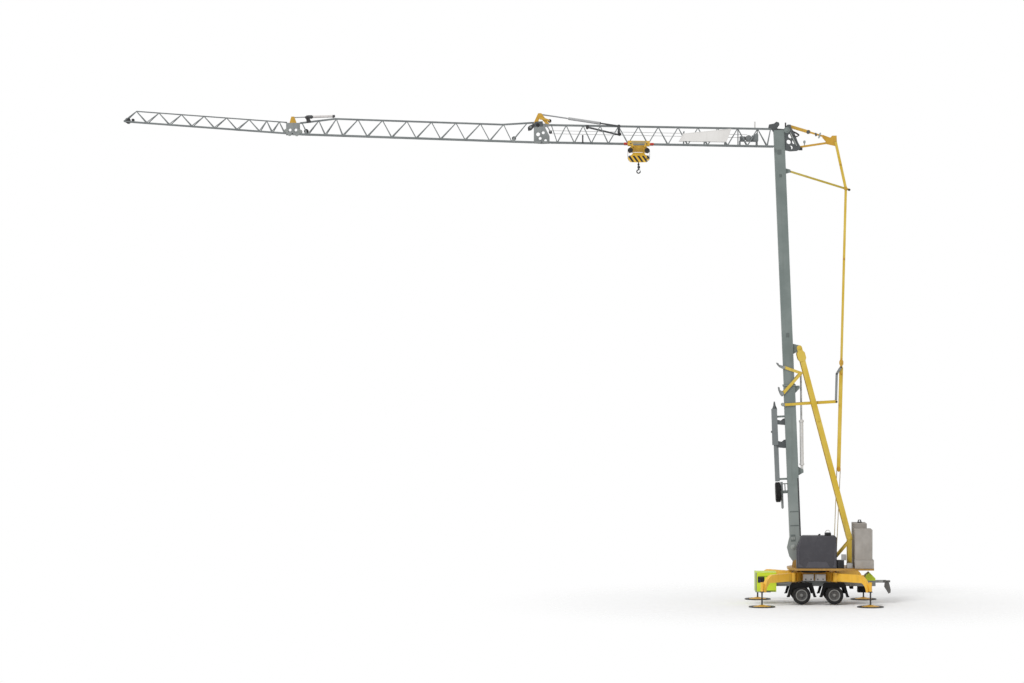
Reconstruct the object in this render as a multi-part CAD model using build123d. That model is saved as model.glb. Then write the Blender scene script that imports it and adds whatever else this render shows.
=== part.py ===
from build123d import *
import math
import os

# Self-erecting tower crane on a towed chassis, at full size, in millimetres.
# +X points from the jib to the ballast, +Y across, +Z up; the origin is on the ground under the slewing axis.

# Fits: RUN is the play of pins, seats and rollers, GAP is kept by pieces that pass each other.
RUN = 0.5
GAP = 30.0

# Stand: pads, jacks and outrigger arms.
PAD_SPREAD = 4440.0
PAD_R = 545.0
PAD_T = 35.0
CONE_R = 335.0
CONE_TOP_R = 70.0
CONE_H = 65.0
SCREW_R = 33.0
SLEEVE_R = 62.0
SLEEVE_BOTTOM = 600.0
SLEEVE_TOP = 1020.0
ARM_TOP = 1300.0
ARM_DEPTH = 330.0
ARM_WIDTH = 160.0
ARM_PIVOT_X = 900.0
ARM_PIVOT_Y = 760.0
ARM_EYE_R = 140.0
ARM_PIN_R = 40.0
ARM_CURVE = 610.0
ARM_SKIN = 14.0
ARM_END = 190.0
LUG_T = 30.0

# Chassis, axles and wheels.
FRAME_LENGTH = 1300.0
FRAME_WIDTH = 860.0
FRAME_SKIN = 20.0
RAIL_WIDTH = 100.0
RAIL_DEPTH = 230.0
RAIL_REAR = 1600.0
RAIL_FRONT = 2550.0
WHEEL_R = 375.0
WHEEL_WIDTH = 220.0
WHEEL_LIFT = 30.0
WHEEL_TRACK = 2000.0
WHEEL_REAR_X = -540.0
WHEEL_FRONT_X = 810.0
RIM_R = 230.0
RIM_DISH = 45.0
SPINDLE_R = 45.0
AXLE_SIDE = 120.0
GUARD_WIDTH = 260.0
GUARD_T = 12.0
GUARD_HALF_TOP = 400.0
GUARD_HALF_FOOT = 600.0
GUARD_FOOT_Z = 330.0
GUARD_LIP = 110.0
GUARD_LIP_TOP = 200.0
DRAWBAR_END = 2950.0
DRAWBAR_SIDE = 110.0
TOW_EYE_R = 25.0
COUPLING_FOOT_Z = 410.0
COUPLING_T = 15.0
BOARD_REAR = 2390.0
BOARD_LENGTH = 830.0
BOARD_HALF = 600.0
BOARD_BOTTOM = 510.0
BOARD_TOP = 1310.0
BOARD_T = 30.0

# Slewing platform and what stands on it.
RING_R = 520.0
RING_BORE = 330.0
RING_T = 100.0
DECK_T = 85.0
DECK_SKIN = 15.0
DECK_HALF = 1150.0
DECK_REAR = 1080.0
DECK_FRONT = 2440.0
HOUSING_INNER = 500.0
HOUSING_TOP = 2865.0
HOUSING_FAR_TOP = 2740.0
HOUSING_SKIN = 30.0
MOTOR_X = 935.0
MOTOR_L = 275.0
MOTOR_H = 335.0
UNIT_Y = 860.0
UNIT_WIDTH = 440.0
CABINET_L = 190.0
CABINET_H = 230.0
CABINET_IN = 80.0
FOOT_BOX_L = 230.0
FOOT_BOX_H = 215.0
BALLAST_X0 = 1650.0
BALLAST_X1 = 2370.0
BALLAST_FAR_X1 = 2220.0
BALLAST_BASE_X1 = 2430.0
BALLAST_HALF = 1200.0
BALLAST_SLOT = 120.0
BALLAST_BASE_H = 355.0
BALLAST_NEAR_H = 1250.0
BALLAST_FAR_H = 1440.0

# Mast, a box tube that leans towards the jib: s runs up it from its foot, u across it to the rear.
MAST_FOOT_X = -706.0
MAST_FOOT_Z = 1600.0
MAST_LEAN = 2.365
MAST_LOW = 470.0
MAST_UP = 440.0
MAST_WALL = 10.0
MAST_JOINT_S = 7450.0
MAST_TOP_S = 17880.0
MAST_CAP_S = 18030.0
FOOT_S = 400.0
FLANGE_T = 30.0
FLANGE_EDGE = 30.0

# Erecting gear behind the mast.
STRUT_TOP_S = 8990.0
STRUT_TOP_U = 471.0
STRUT_FOOT_X = 1485.0
STRUT_FOOT_Z = 2705.0
STRUT_WIDTH = 130.0
STRUT_DEPTH = 215.0
STRUT_INNER = 340.0
STRUT_SKIN = 12.0
POST_SIDE = 160.0
CYL_FOOT_S = 3873.0
CYL_FOOT_U = 390.0
KNEE_S = 7936.0
KNEE_U = 507.0
BARREL_R = 78.0
ROD_R = 40.0
KNEE_UPPER_S = 8210.0
KNEE_UPPER_U = -179.0
KNEE_LOWER_S = 7118.0
KNEE_LOWER_U = -287.0
KNEE_ARM_W = 120.0
GUIDE_S = 6660.0
GUIDE_U = -285.0
GUIDE_END_X = 930.0
GUIDE_END_Z = 8370.0
GUIDE_W = 110.0
LINK_TOP_X = 1130.0
LINK_TOP_Z = 9800.0

# Tie line behind the mast, with the jib pivot at its head.
PIVOT_X = -1125.0
PIVOT_Z = 19610.0
PIVOT_R = 40.0
TIE_HEAD_X = 892.0
TIE_HEAD_Z = 19180.0
TIE_KNEE_X = 1328.0
TIE_KNEE_Z = 17190.0
GUIDE_STRUT_TAIL = 150.0
GUIDE_STRUT_X = -1030.0
GUIDE_STRUT_Z = 17920.0
TIE_BLOCK_X = 1041.0
TIE_BLOCK_Z = 5570.0
TIE_FOOT_X = 880.0
TIE_PIN_R = 30.0
TIE_T = 16.0

# Jib: three lattice sections of triangular shape, each measured along its own lower chords.
CHORD_HALF = 380.0
CHORD = 70.0
CHORD_WALL = 5.0
LACE_W = 38.0
LACE_T = 10.0
TRACK_W = 50.0
TRACK_T = 12.0
ROOT_X = -1655.0
ROOT_Z = 18938.0
ROOT_SLOPE = 1.05
ROOT_LENGTH = 9291.0
ROOT_DEPTH = 722.0
ROOT_TOP_CHORD = 85.0
ROOT_TOP_END = 112.0
ROOT_FIRST = 278.0
ROOT_LAST = 322.0
FOLD1_GAP = 653.6
FOLD1_STEP = -4.3
MID_SLOPE = 2.0
MID_LENGTH = 9716.0
MID_DEPTH = 690.0
MID_RISE = 125.0
MID_RISE_T = 1320.0
MID_FALL_T = 1433.0
MID_END_DEPTH = 465.0
MID_TOP_CHORD = 75.0
MID_FIRST = 913.0
MID_LAST = 333.0
FOLD2_GAP = 568.9
FOLD2_STEP = 19.1
TIP_SLOPE = 4.23
TIP_LENGTH = 6733.0
TIP_DEPTH = 455.0
TIP_FIRST = 62.0
TIP_LAST = 931.0
TIP_CHORD = 56.0
APEX1_OUT = 427.0
APEX1_RISE = 442.0
APEX2_OUT = 316.0
APEX2_RISE = 219.3
FOLD_Y = 80.0
FOLD_T = 20.0
FOLD_TAIL = 2861.0
FOLD1_HOLES = ((178.0, 340.0, 80.0), (391.0, 406.0, 60.0), (262.0, 170.0, 60.0), (486.0, 85.0, 55.0))
SIGN_BACK = 3836.0
SIGN_FRONT = 1878.0
SIGN_LEAN = 99.0
SIGN_LOW = 146.0
SIGN_BACK_TOP = 464.0
SIGN_FRONT_TOP = 694.0
SIGN_SHEET = 14.0
SIGN_POST = 40.0
SIGN_POST_H = 560.0

# Trolley, hook block and hook.
TROLLEY_T = 5598.0
TROLLEY_HALF = 455.0
PLATE_T = 15.0
ROLLER_R = 40.0
SHEAVE_R = 95.0
SHEAVE_OFFSET = 350.0
SHEAVE_DROP = 261.0
CHEEK_IN = 72.0
CHEEK_T = 12.0
BLOCK_HALF = 435.0
BLOCK_TOP_Z = 18600.0
BLOCK_CREST = 90.0
BLOCK_BOTTOM_Z = 18285.0
BLOCK_SHEAVE_Z = 18455.0
ROPE_R = 8.0
ROPE_GAP = 0.3
HOOK_R = 70.0
HOOK_WIRE_R = 24.0
HOOK_Z = 17907.0
SHANK_R = 25.0

DECK_TOP = ARM_TOP + RING_T + LUG_T + DECK_T
ARM_BOTTOM = ARM_TOP - ARM_DEPTH
LEAN = math.radians(MAST_LEAN)


def slab(points, y0, y1):
    """Prism of an outline given in X and Z, between two Y planes."""
    plane = Plane(origin=(0, y1, 0), x_dir=(1, 0, 0), z_dir=(0, -1, 0))
    return extrude(plane * make_face(Polyline(*points, close=True)), amount=y1 - y0)


def plan(points, z0, z1):
    """Prism of an outline given in X and Y, between two heights."""
    return extrude(Pos(0, 0, z0) * make_face(Polyline(*points, close=True)), amount=z1 - z0)


def block(x0, x1, y0, y1, z0, z1):
    """Box between three pairs of planes."""
    return Pos((x0 + x1) / 2, (y0 + y1) / 2, (z0 + z1) / 2) * Box(x1 - x0, y1 - y0, z1 - z0)


def bar(p, q, width, depth, side=(0, 1, 0)):
    """Straight bar of rectangular section from p to q, its depth along the given side direction."""
    axis = Vector(*q) - Vector(*p)
    across = Vector(*side) - axis * (Vector(*side).dot(axis) / axis.dot(axis))
    plane = Plane(origin=p, x_dir=across, z_dir=axis)
    return plane * Box(depth, width, axis.length, align=(Align.CENTER, Align.CENTER, Align.MIN))


def rod(p, q, radius):
    """Round bar from p to q."""
    axis = Vector(*q) - Vector(*p)
    return Plane(origin=p, z_dir=axis) * Cylinder(
        radius, axis.length, align=(Align.CENTER, Align.CENTER, Align.MIN)
    )


def pin(x, z, radius, y0, y1):
    """Round pin along Y."""
    return rod((x, y0, z), (x, y1, z), radius)


def both(shape):
    """A piece and its mirror image on the other side of the centre plane."""
    return [shape, mirror(shape, about=Plane.XZ)]


def fused(shapes):
    return Part() + list(shapes)


def flat_link(p, q, width, y0, y1, head=1.0):
    """Flat bar in the XZ plane with round ends at p and q."""
    yc = (y0 + y1) / 2
    body = bar((p[0], yc, p[1]), (q[0], yc, q[1]), width, y1 - y0)
    ends = [pin(x, z, width / 2 * head, y0, y1) for x, z in (p, q)]
    return fused([body] + ends)


def along(p, q, f):
    """Point a fraction f of the way from p to q."""
    return (p[0] + f * (q[0] - p[0]), p[1] + f * (q[1] - p[1]))


def on_mast(s, u):
    """Point of the mast as X and Z."""
    x = MAST_FOOT_X - s * math.sin(LEAN) + u * math.cos(LEAN)
    z = MAST_FOOT_Z + s * math.cos(LEAN) + u * math.sin(LEAN)
    return (x, z)


def around(p, offsets):
    """Outline given by offsets from the point p."""
    return [(p[0] + dx, p[1] + dz) for dx, dz in offsets]


def mast_slab(points, y0, y1):
    return slab([on_mast(s, u) for s, u in points], y0, y1)


def mast_box(s0, s1, u0, u1, y0, y1):
    return mast_slab([(s0, u0), (s1, u0), (s1, u1), (s0, u1)], y0, y1)


# Jacks: round pad with a cone and a screw, in a sleeve at the end of each arm.
arm_reach = math.hypot(PAD_SPREAD / 2 - ARM_PIVOT_X, PAD_SPREAD / 2 - ARM_PIVOT_Y)
arm_angle = math.degrees(math.atan2(PAD_SPREAD / 2 - ARM_PIVOT_Y, PAD_SPREAD / 2 - ARM_PIVOT_X))


def jack():
    pad = Cylinder(PAD_R, PAD_T, align=(Align.CENTER, Align.CENTER, Align.MIN))
    cone = Pos(0, 0, PAD_T) * Cone(CONE_R, CONE_TOP_R, CONE_H, align=(Align.CENTER, Align.CENTER, Align.MIN))
    screw = rod((0, 0, PAD_T), (0, 0, SLEEVE_TOP - GAP), SCREW_R)
    return fused([pad, cone, screw])


def arm():
    """Outrigger arm along +X from its pin, arching down to the jack sleeve."""
    reach = arm_reach
    top_curve = ThreePointArc(
        (reach - ARM_CURVE, ARM_TOP),
        (reach - 0.40 * ARM_CURVE, ARM_TOP - 0.34 * (ARM_TOP - SLEEVE_BOTTOM)),
        (reach - 0.1 * ARM_CURVE, SLEEVE_BOTTOM),
    )
    foot_x = reach - ARM_END
    low_curve = ThreePointArc(
        (foot_x, SLEEVE_BOTTOM),
        (foot_x - 0.25 * ARM_DEPTH, ARM_BOTTOM - 0.34 * (ARM_BOTTOM - SLEEVE_BOTTOM)),
        (foot_x - 0.75 * ARM_DEPTH, ARM_BOTTOM),
    )
    outline = [
        Line((0, ARM_TOP - RUN), (reach - ARM_CURVE, ARM_TOP - RUN)),
        Line((reach - ARM_CURVE, ARM_TOP - RUN), (reach - ARM_CURVE, ARM_TOP)),
        top_curve,
        Line((reach - 0.1 * ARM_CURVE, SLEEVE_BOTTOM), (foot_x, SLEEVE_BOTTOM)),
        low_curve,
        Line((foot_x - 0.75 * ARM_DEPTH, ARM_BOTTOM), (foot_x - 0.75 * ARM_DEPTH, ARM_BOTTOM + RUN)),
        Line((foot_x - 0.75 * ARM_DEPTH, ARM_BOTTOM + RUN), (0, ARM_BOTTOM + RUN)),
        Line((0, ARM_BOTTOM + RUN), (0, ARM_TOP - RUN)),
    ]
    plane = Plane(origin=(0, ARM_WIDTH / 2, 0), x_dir=(1, 0, 0), z_dir=(0, -1, 0))
    body = extrude(plane * make_face(outline), amount=ARM_WIDTH)
    eye = rod((0, 0, ARM_BOTTOM + RUN), (0, 0, ARM_TOP - RUN), ARM_EYE_R)
    sleeve = rod((reach, 0, SLEEVE_BOTTOM), (reach, 0, SLEEVE_TOP), SLEEVE_R)
    web = block(foot_x, reach, -0.15 * ARM_WIDTH, 0.15 * ARM_WIDTH, SLEEVE_BOTTOM, SLEEVE_TOP - SLEEVE_R)
    holes = [
        rod((0, 0, 0), (0, 0, 2 * ARM_TOP), ARM_PIN_R + RUN),
        rod((reach, 0, 0), (reach, 0, 2 * ARM_TOP), SCREW_R + RUN),
    ]
    hollow = block(
        ARM_EYE_R + GAP, reach - ARM_CURVE, -ARM_WIDTH / 2 + ARM_SKIN, ARM_WIDTH / 2 - ARM_SKIN,
        ARM_BOTTOM - 1, ARM_TOP - ARM_SKIN,
    )
    return fused([body - hollow, eye, sleeve, web]) - holes


# Chassis frame: a box with a lug pair and pin at each corner for the arms.
rail_top = ARM_BOTTOM
rail_bottom = rail_top - RAIL_DEPTH
rail_outer = FRAME_WIDTH / 2
rail_inner = rail_outer - RAIL_WIDTH


def chassis_frame():
    half_x = FRAME_LENGTH / 2
    half_y = FRAME_WIDTH / 2
    shell = block(-half_x, half_x, -half_y, half_y, ARM_BOTTOM, ARM_TOP)
    inside = block(
        -half_x + FRAME_SKIN, half_x - FRAME_SKIN, -half_y + FRAME_SKIN, half_y - FRAME_SKIN,
        ARM_BOTTOM - 1, ARM_TOP - FRAME_SKIN,
    )
    pieces = [shell - inside]
    angle = math.atan2(ARM_PIVOT_Y - half_y / 2, ARM_PIVOT_X - half_x / 2)
    stop = ARM_EYE_R + GAP
    for sx in (1, -1):
        for sy in (1, -1):
            px, py = sx * ARM_PIVOT_X, sy * ARM_PIVOT_Y
            ex = px - sx * stop * math.cos(angle)
            ey = py - sy * stop * math.sin(angle)
            zc = (ARM_TOP + ARM_BOTTOM) / 2
            start = (sx * (half_x - 3 * FRAME_SKIN), sy * (half_y - 3 * FRAME_SKIN), zc)
            stub = bar(start, (ex, ey, zc), 1.6 * ARM_EYE_R, ARM_DEPTH, (0, 0, 1))
            pieces.append(stub - inside)
            for z0 in (ARM_TOP, ARM_BOTTOM - LUG_T):
                pieces.append(rod((px, py, z0), (px, py, z0 + LUG_T), ARM_EYE_R))
                tail = bar(
                    (start[0], start[1], z0 + LUG_T / 2), (px, py, z0 + LUG_T / 2),
                    1.6 * ARM_EYE_R, LUG_T, (0, 0, 1),
                )
                pieces.append(tail)
            pieces.append(rod((px, py, ARM_BOTTOM - LUG_T), (px, py, ARM_TOP + LUG_T), ARM_PIN_R))
    return fused(pieces) - inside


def chassis_rails():
    pieces = []
    for side in (1, -1):
        y0, y1 = sorted((side * rail_inner, side * rail_outer))
        pieces.append(block(-RAIL_REAR, RAIL_FRONT, y0, y1, rail_bottom, rail_top))
    for x in (-RAIL_REAR + RAIL_WIDTH / 2, 1700.0, RAIL_FRONT - RAIL_WIDTH / 2):
        pieces.append(
            block(x - RAIL_WIDTH / 2, x + RAIL_WIDTH / 2, -rail_inner, rail_inner, rail_bottom, rail_top)
        )
    body = fused(pieces)
    bumper = [
        block(-BOARD_REAR, -RAIL_REAR, -rail_outer, -rail_inner, rail_bottom, rail_bottom + RAIL_WIDTH),
        block(-BOARD_REAR, -RAIL_REAR, rail_inner, rail_outer, rail_bottom, rail_bottom + RAIL_WIDTH),
        block(
            -BOARD_REAR, -BOARD_REAR + RAIL_WIDTH, -BOARD_HALF + BOARD_T, BOARD_HALF - BOARD_T,
            rail_bottom, rail_bottom + RAIL_WIDTH,
        ),
    ]
    return fused([body] + bumper)


def axles():
    z = WHEEL_R + WHEEL_LIFT
    out = []
    for x in (WHEEL_REAR_X, WHEEL_FRONT_X):
        inner = WHEEL_TRACK / 2 - WHEEL_WIDTH / 2 - GAP
        beam = block(
            x - AXLE_SIDE / 2, x + AXLE_SIDE / 2, -inner, inner, z - AXLE_SIDE / 2, z + AXLE_SIDE / 2
        )
        y = WHEEL_TRACK / 2 + 0.1 * WHEEL_WIDTH
        spindle = rod((x, -y, z), (x, y, z), SPINDLE_R)
        hangers = [
            block(x - AXLE_SIDE, x + AXLE_SIDE, y - 20, y + 20, z, rail_bottom)
            for y in (-(rail_inner + rail_outer) / 2, (rail_inner + rail_outer) / 2)
        ]
        out.append(fused([beam, spindle] + hangers))
    return Compound(children=out)


def wheel(x, y):
    z = WHEEL_R + WHEEL_LIFT
    half = WHEEL_WIDTH / 2
    out = 1 if y > 0 else -1
    tyre = rod((x, y - half, z), (x, y + half, z), WHEEL_R)
    tyre = fillet(tyre.edges().filter_by(GeomType.CIRCLE), 0.2 * WHEEL_WIDTH)
    face = y + out * half
    dish = rod((x, face - out * RIM_DISH, z), (x, face + out * 5, z), RIM_R)
    inner = y - out * half
    back = rod((x, inner - out * 5, z), (x, inner + out * RIM_DISH, z), RIM_R)
    bore = rod((x, inner - out * 10, z), (x, y + out * 0.1 * WHEEL_WIDTH + out * RUN, z), SPINDLE_R + RUN)
    return tyre - dish - back - bore


def mudguards():
    top = ARM_BOTTOM - LUG_T - 15.0
    y1 = WHEEL_TRACK / 2 + GUARD_WIDTH / 2
    y0 = WHEEL_TRACK / 2 - GUARD_WIDTH / 2
    out = []
    for x in (WHEEL_REAR_X, WHEEL_FRONT_X):
        outer = [
            (x - GUARD_HALF_FOOT, GUARD_FOOT_Z), (x - GUARD_HALF_TOP - 70, top - 110),
            (x - GUARD_HALF_TOP, top), (x + GUARD_HALF_TOP, top),
            (x + GUARD_HALF_TOP + 70, top - 110), (x + GUARD_HALF_FOOT, GUARD_FOOT_Z),
        ]
        inner = [
            (x + GUARD_HALF_FOOT - GUARD_T, GUARD_FOOT_Z), (x + GUARD_HALF_TOP + 70 - GUARD_T, top - 110),
            (x + GUARD_HALF_TOP - GUARD_T, top - GUARD_T), (x - GUARD_HALF_TOP + GUARD_T, top - GUARD_T),
            (x - GUARD_HALF_TOP - 70 + GUARD_T, top - 110), (x - GUARD_HALF_FOOT + GUARD_T, GUARD_FOOT_Z),
        ]
        arch = [
            (x + GUARD_HALF_FOOT - GUARD_LIP, GUARD_FOOT_Z),
            (x + GUARD_HALF_TOP + 70 - GUARD_LIP, top - GUARD_LIP_TOP),
            (x - GUARD_HALF_TOP - 70 + GUARD_LIP, top - GUARD_LIP_TOP),
            (x - GUARD_HALF_FOOT + GUARD_LIP, GUARD_FOOT_Z),
        ]
        lip = slab(outer + arch, y1 - GUARD_T, y1)
        stay = block(x - 30, x + 30, rail_outer, y0 + 60, top - 4 * GUARD_T, top - GUARD_T)
        out += both(fused([slab(outer + inner, y0, y1), lip, stay]))
    return Compound(children=out)


def tool_boxes():
    out = []
    for x0 in (-455.0, 40.0):
        out += both(block(x0, x0 + 435.0, FRAME_WIDTH / 2, FRAME_WIDTH / 2 + 230.0, 975.0, 1245.0))
    return Compound(children=out)


def drawbar():
    half = DRAWBAR_SIDE / 2
    zc = rail_top - half
    beam = block(1700.0 + RAIL_WIDTH / 2, RAIL_FRONT - RAIL_WIDTH, -half, half, zc - half, zc + half)
    neck = block(RAIL_FRONT, DRAWBAR_END + 60, -half, half, zc - half, zc + half)
    head = rod((DRAWBAR_END + 150, 0, zc - 40), (DRAWBAR_END + 150, 0, zc + 40), 85)
    foot = COUPLING_FOOT_Z
    cheek = slab(
        [
            (DRAWBAR_END + 10, zc - 30), (DRAWBAR_END - 15, foot + 280), (DRAWBAR_END + 160, foot),
            (DRAWBAR_END + 240, foot + 30), (DRAWBAR_END + 255, foot + 150), (DRAWBAR_END + 180, zc - 30),
        ],
        half - COUPLING_T, half,
    )
    tie = pin(DRAWBAR_END + 195, foot + 90, 30, -half, half)
    crank = block(DRAWBAR_END + 40, DRAWBAR_END + 150, -40, 40, zc - 40, zc + 40)
    eye = rod((DRAWBAR_END + 150, 0, 0), (DRAWBAR_END + 150, 0, 2 * zc), TOW_EYE_R)
    front = fused([neck, head, crank, tie] + both(cheek)) - eye
    return Compound(children=[beam, front])


def hi_vis_panels():
    x0 = -BOARD_REAR - BOARD_T
    x1 = -BOARD_REAR + BOARD_LENGTH
    outer = block(x0, x1, -BOARD_HALF, BOARD_HALF, BOARD_BOTTOM, BOARD_TOP)
    inner = block(
        -BOARD_REAR, -BOARD_REAR + BOARD_LENGTH + 1, -BOARD_HALF + BOARD_T, BOARD_HALF - BOARD_T,
        BOARD_BOTTOM - 1, BOARD_TOP - BOARD_T,
    )
    lamp = [
        block(-BOARD_REAR + 60, -BOARD_REAR + 340, s - 10, s + 10, BOARD_TOP - 420, BOARD_TOP - 170)
        for s in (-BOARD_HALF, BOARD_HALF)
    ]
    cover = slab(
        [(2130, rail_top), (2130, 1170), (2300, BOARD_TOP), (2545, 1060), (2545, rail_top)],
        -rail_outer, rail_outer,
    )
    hollow = slab(
        [(2160, rail_top - 1), (2160, 1160), (2300, BOARD_TOP - BOARD_T), (2515, 1050), (2515, rail_top - 1)],
        -rail_outer + BOARD_T, rail_outer - BOARD_T,
    )
    return Compound(children=[outer - inner - lamp, cover - hollow])


def underfloor_boxes():
    box = block(1830, 2200, -rail_inner, rail_inner, 470, 800)
    tank = block(1500, 1640, -rail_inner, rail_inner, 620, 830)
    return Compound(children=[box, tank])


def slew_ring():
    z0 = ARM_TOP
    z1 = ARM_TOP + RING_T
    ring = rod((0, 0, z0), (0, 0, z1), RING_R) - rod((0, 0, z0 - 1), (0, 0, z1 + 1), RING_BORE)
    return ring


# Slewing platform: a tray with a ring below and the mast bracket above.
deck_bottom = DECK_TOP - DECK_T


def platform():
    outline = [
        (-DECK_REAR, -450), (-780, -DECK_HALF), (DECK_FRONT, -DECK_HALF),
        (DECK_FRONT, DECK_HALF), (-780, DECK_HALF), (-DECK_REAR, 450),
    ]
    e = 20.0
    inside = [
        (-DECK_REAR + e, -450 + e), (-780 + e, -DECK_HALF + e), (DECK_FRONT - e, -DECK_HALF + e),
        (DECK_FRONT - e, DECK_HALF - e), (-780 + e, DECK_HALF - e), (-DECK_REAR + e, 450 - e),
    ]
    tray = plan(outline, deck_bottom, DECK_TOP) - plan(inside, deck_bottom - 1, DECK_TOP - DECK_SKIN)
    seat = ARM_TOP + RING_T + RUN
    ring = rod((0, 0, seat), (0, 0, DECK_TOP), RING_R) - rod((0, 0, 0), (0, 0, 2 * DECK_TOP), RING_BORE)
    y0 = MAST_LOW / 2 + RUN
    cheek = slab(
        around((MAST_FOOT_X, DECK_TOP), [(-174, 0), (-134, 270), (6, 320), (136, 270), (236, 0)]),
        y0, y0 + 30,
    )
    anchor = block(TIE_FOOT_X - 90, TIE_FOOT_X + 90, -60, 60, DECK_TOP, DECK_TOP + 40)
    return fused([tray, ring, anchor] + both(cheek))


def housing(top, y0, y1):
    x0 = -744.0
    x1 = 908.0
    low = DECK_TOP
    outline = [
        (x0, low), (x0, low + 0.64 * (top - low)), (x0 + 190, top - 48), (x0 + 270, top),
        (x1 - 80, top), (x1, top - 75), (x1, low),
    ]
    k = HOUSING_SKIN
    inner = [
        (x0 + k, low - 1), (x0 + k, low + 0.64 * (top - low) - k / 4), (x0 + 190 + k, top - 48 - k),
        (x0 + 270 + k, top - k), (x1 - 80 - k, top - k), (x1 - k, top - 75 - k), (x1 - k, low - 1),
    ]
    return slab(outline, y0, y1) - slab(inner, y0 + k, y1 - k)


def drive_units():
    motor_top = DECK_TOP + MOTOR_H
    y0, y1 = -UNIT_Y - UNIT_WIDTH / 2, -UNIT_Y + UNIT_WIDTH / 2
    motor = block(MOTOR_X, MOTOR_X + MOTOR_L, y0, y1, DECK_TOP, motor_top)
    x = MOTOR_X + MOTOR_L - CABINET_L / 2
    cabinet = block(x, x + CABINET_L, y0 + CABINET_IN, y1 - CABINET_IN, motor_top, motor_top + CABINET_H)
    x = MOTOR_X + MOTOR_L + 4 * GAP
    foot = block(x, x + FOOT_BOX_L, y0, y1, DECK_TOP, DECK_TOP + FOOT_BOX_H)
    return Compound(children=[fused([motor, cabinet]), foot])


def ballast():
    base_top = DECK_TOP + BALLAST_BASE_H
    half_slot = BALLAST_SLOT / 2
    base = block(BALLAST_X0, BALLAST_BASE_X1, -BALLAST_HALF, BALLAST_HALF, DECK_TOP, base_top)
    near = block(BALLAST_X0, BALLAST_X1, -BALLAST_HALF, -half_slot, base_top, base_top + BALLAST_NEAR_H)
    far = block(BALLAST_X0, BALLAST_FAR_X1, half_slot, BALLAST_HALF, base_top, base_top + BALLAST_FAR_H)
    return base, near, far


def lifting_ring():
    top = DECK_TOP + BALLAST_BASE_H + BALLAST_FAR_H
    x = (BALLAST_X0 + BALLAST_X1) / 2 - 60
    y = (BALLAST_HALF + BALLAST_SLOT / 2) / 2
    foot = block(x - 100, x + 100, y - 60, y + 60, top, top + 25)
    plate = slab(around((x, top), [(-90, 25), (-60, 130), (60, 130), (90, 25)]), y - 15, y + 15)
    return fused([foot, plate]) - pin(x, top + 75, 32, y - 20, y + 20)


# Mast tubes with their lugs and pins.
def mast_tube(s0, s1, side):
    half = side / 2
    outer = mast_slab([(s0, -half), (s1, -half), (s1, half), (s0, half)], -half, half)
    k = half - MAST_WALL
    inner = mast_slab([(s0 - 1, -k), (s1 + 1, -k), (s1 + 1, k), (s0 - 1, k)], -k, k)
    return outer, inner


def mast_pin(s, u, radius, y0, y1):
    x, z = on_mast(s, u)
    return pin(x, z, radius, y0, y1)


def mast_lower():
    half = MAST_LOW / 2
    outer, inner = mast_tube(FOOT_S, MAST_JOINT_S, MAST_LOW)
    edge = half + FLANGE_EDGE
    flange = mast_box(MAST_JOINT_S - FLANGE_T, MAST_JOINT_S, -edge, edge, -edge, edge)
    foot = mast_slab(
        [
            (1150, half), (40, 0.5 * half), (40, -0.3 * half),
            (350, -1.15 * half), (720, -1.5 * half), (1150, -half),
        ],
        half - 30, half,
    )
    knob = mast_slab(
        around((MAST_JOINT_S, 0), [(-330, half), (-FLANGE_T, half), (-FLANGE_T, 430), (-140, 430)]),
        120, 150,
    )
    knob_pin = mast_pin(MAST_JOINT_S - 90, 365, 40, -150, 150)
    ears = mast_slab(
        around((CYL_FOOT_S, 0), [(-170, half), (200, half), (60, CYL_FOOT_U + 60), (-60, CYL_FOOT_U + 60)]),
        55, 80,
    )
    ear_pin = mast_pin(CYL_FOOT_S, CYL_FOOT_U, 30, -80, 80)
    front = []
    for s, u in ((KNEE_LOWER_S, KNEE_LOWER_U), (GUIDE_S, GUIDE_U)):
        front.append(mast_box(s - 60, s + 60, u - 45, -half, -180, 180))
        front.append(mast_pin(s, u, 30, -310, 310))
    hooks = []
    for s in (TOWBAR_S1 - 330, SPARE_S + SPARE_R + 4 * GAP):
        hooks.append(mast_box(s - 40, s + 40, TOWBAR_U + TOWBAR_W / 2, -half, -50, 50))
    spare = mast_box(SPARE_S - 60, SPARE_S + 60, SPARE_U + SPARE_T / 2, -half, -60, 60)
    plates = both(foot) + both(knob) + both(ears)
    return fused([outer, flange, knob_pin, ear_pin, spare] + plates + front + hooks) - inner


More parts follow.
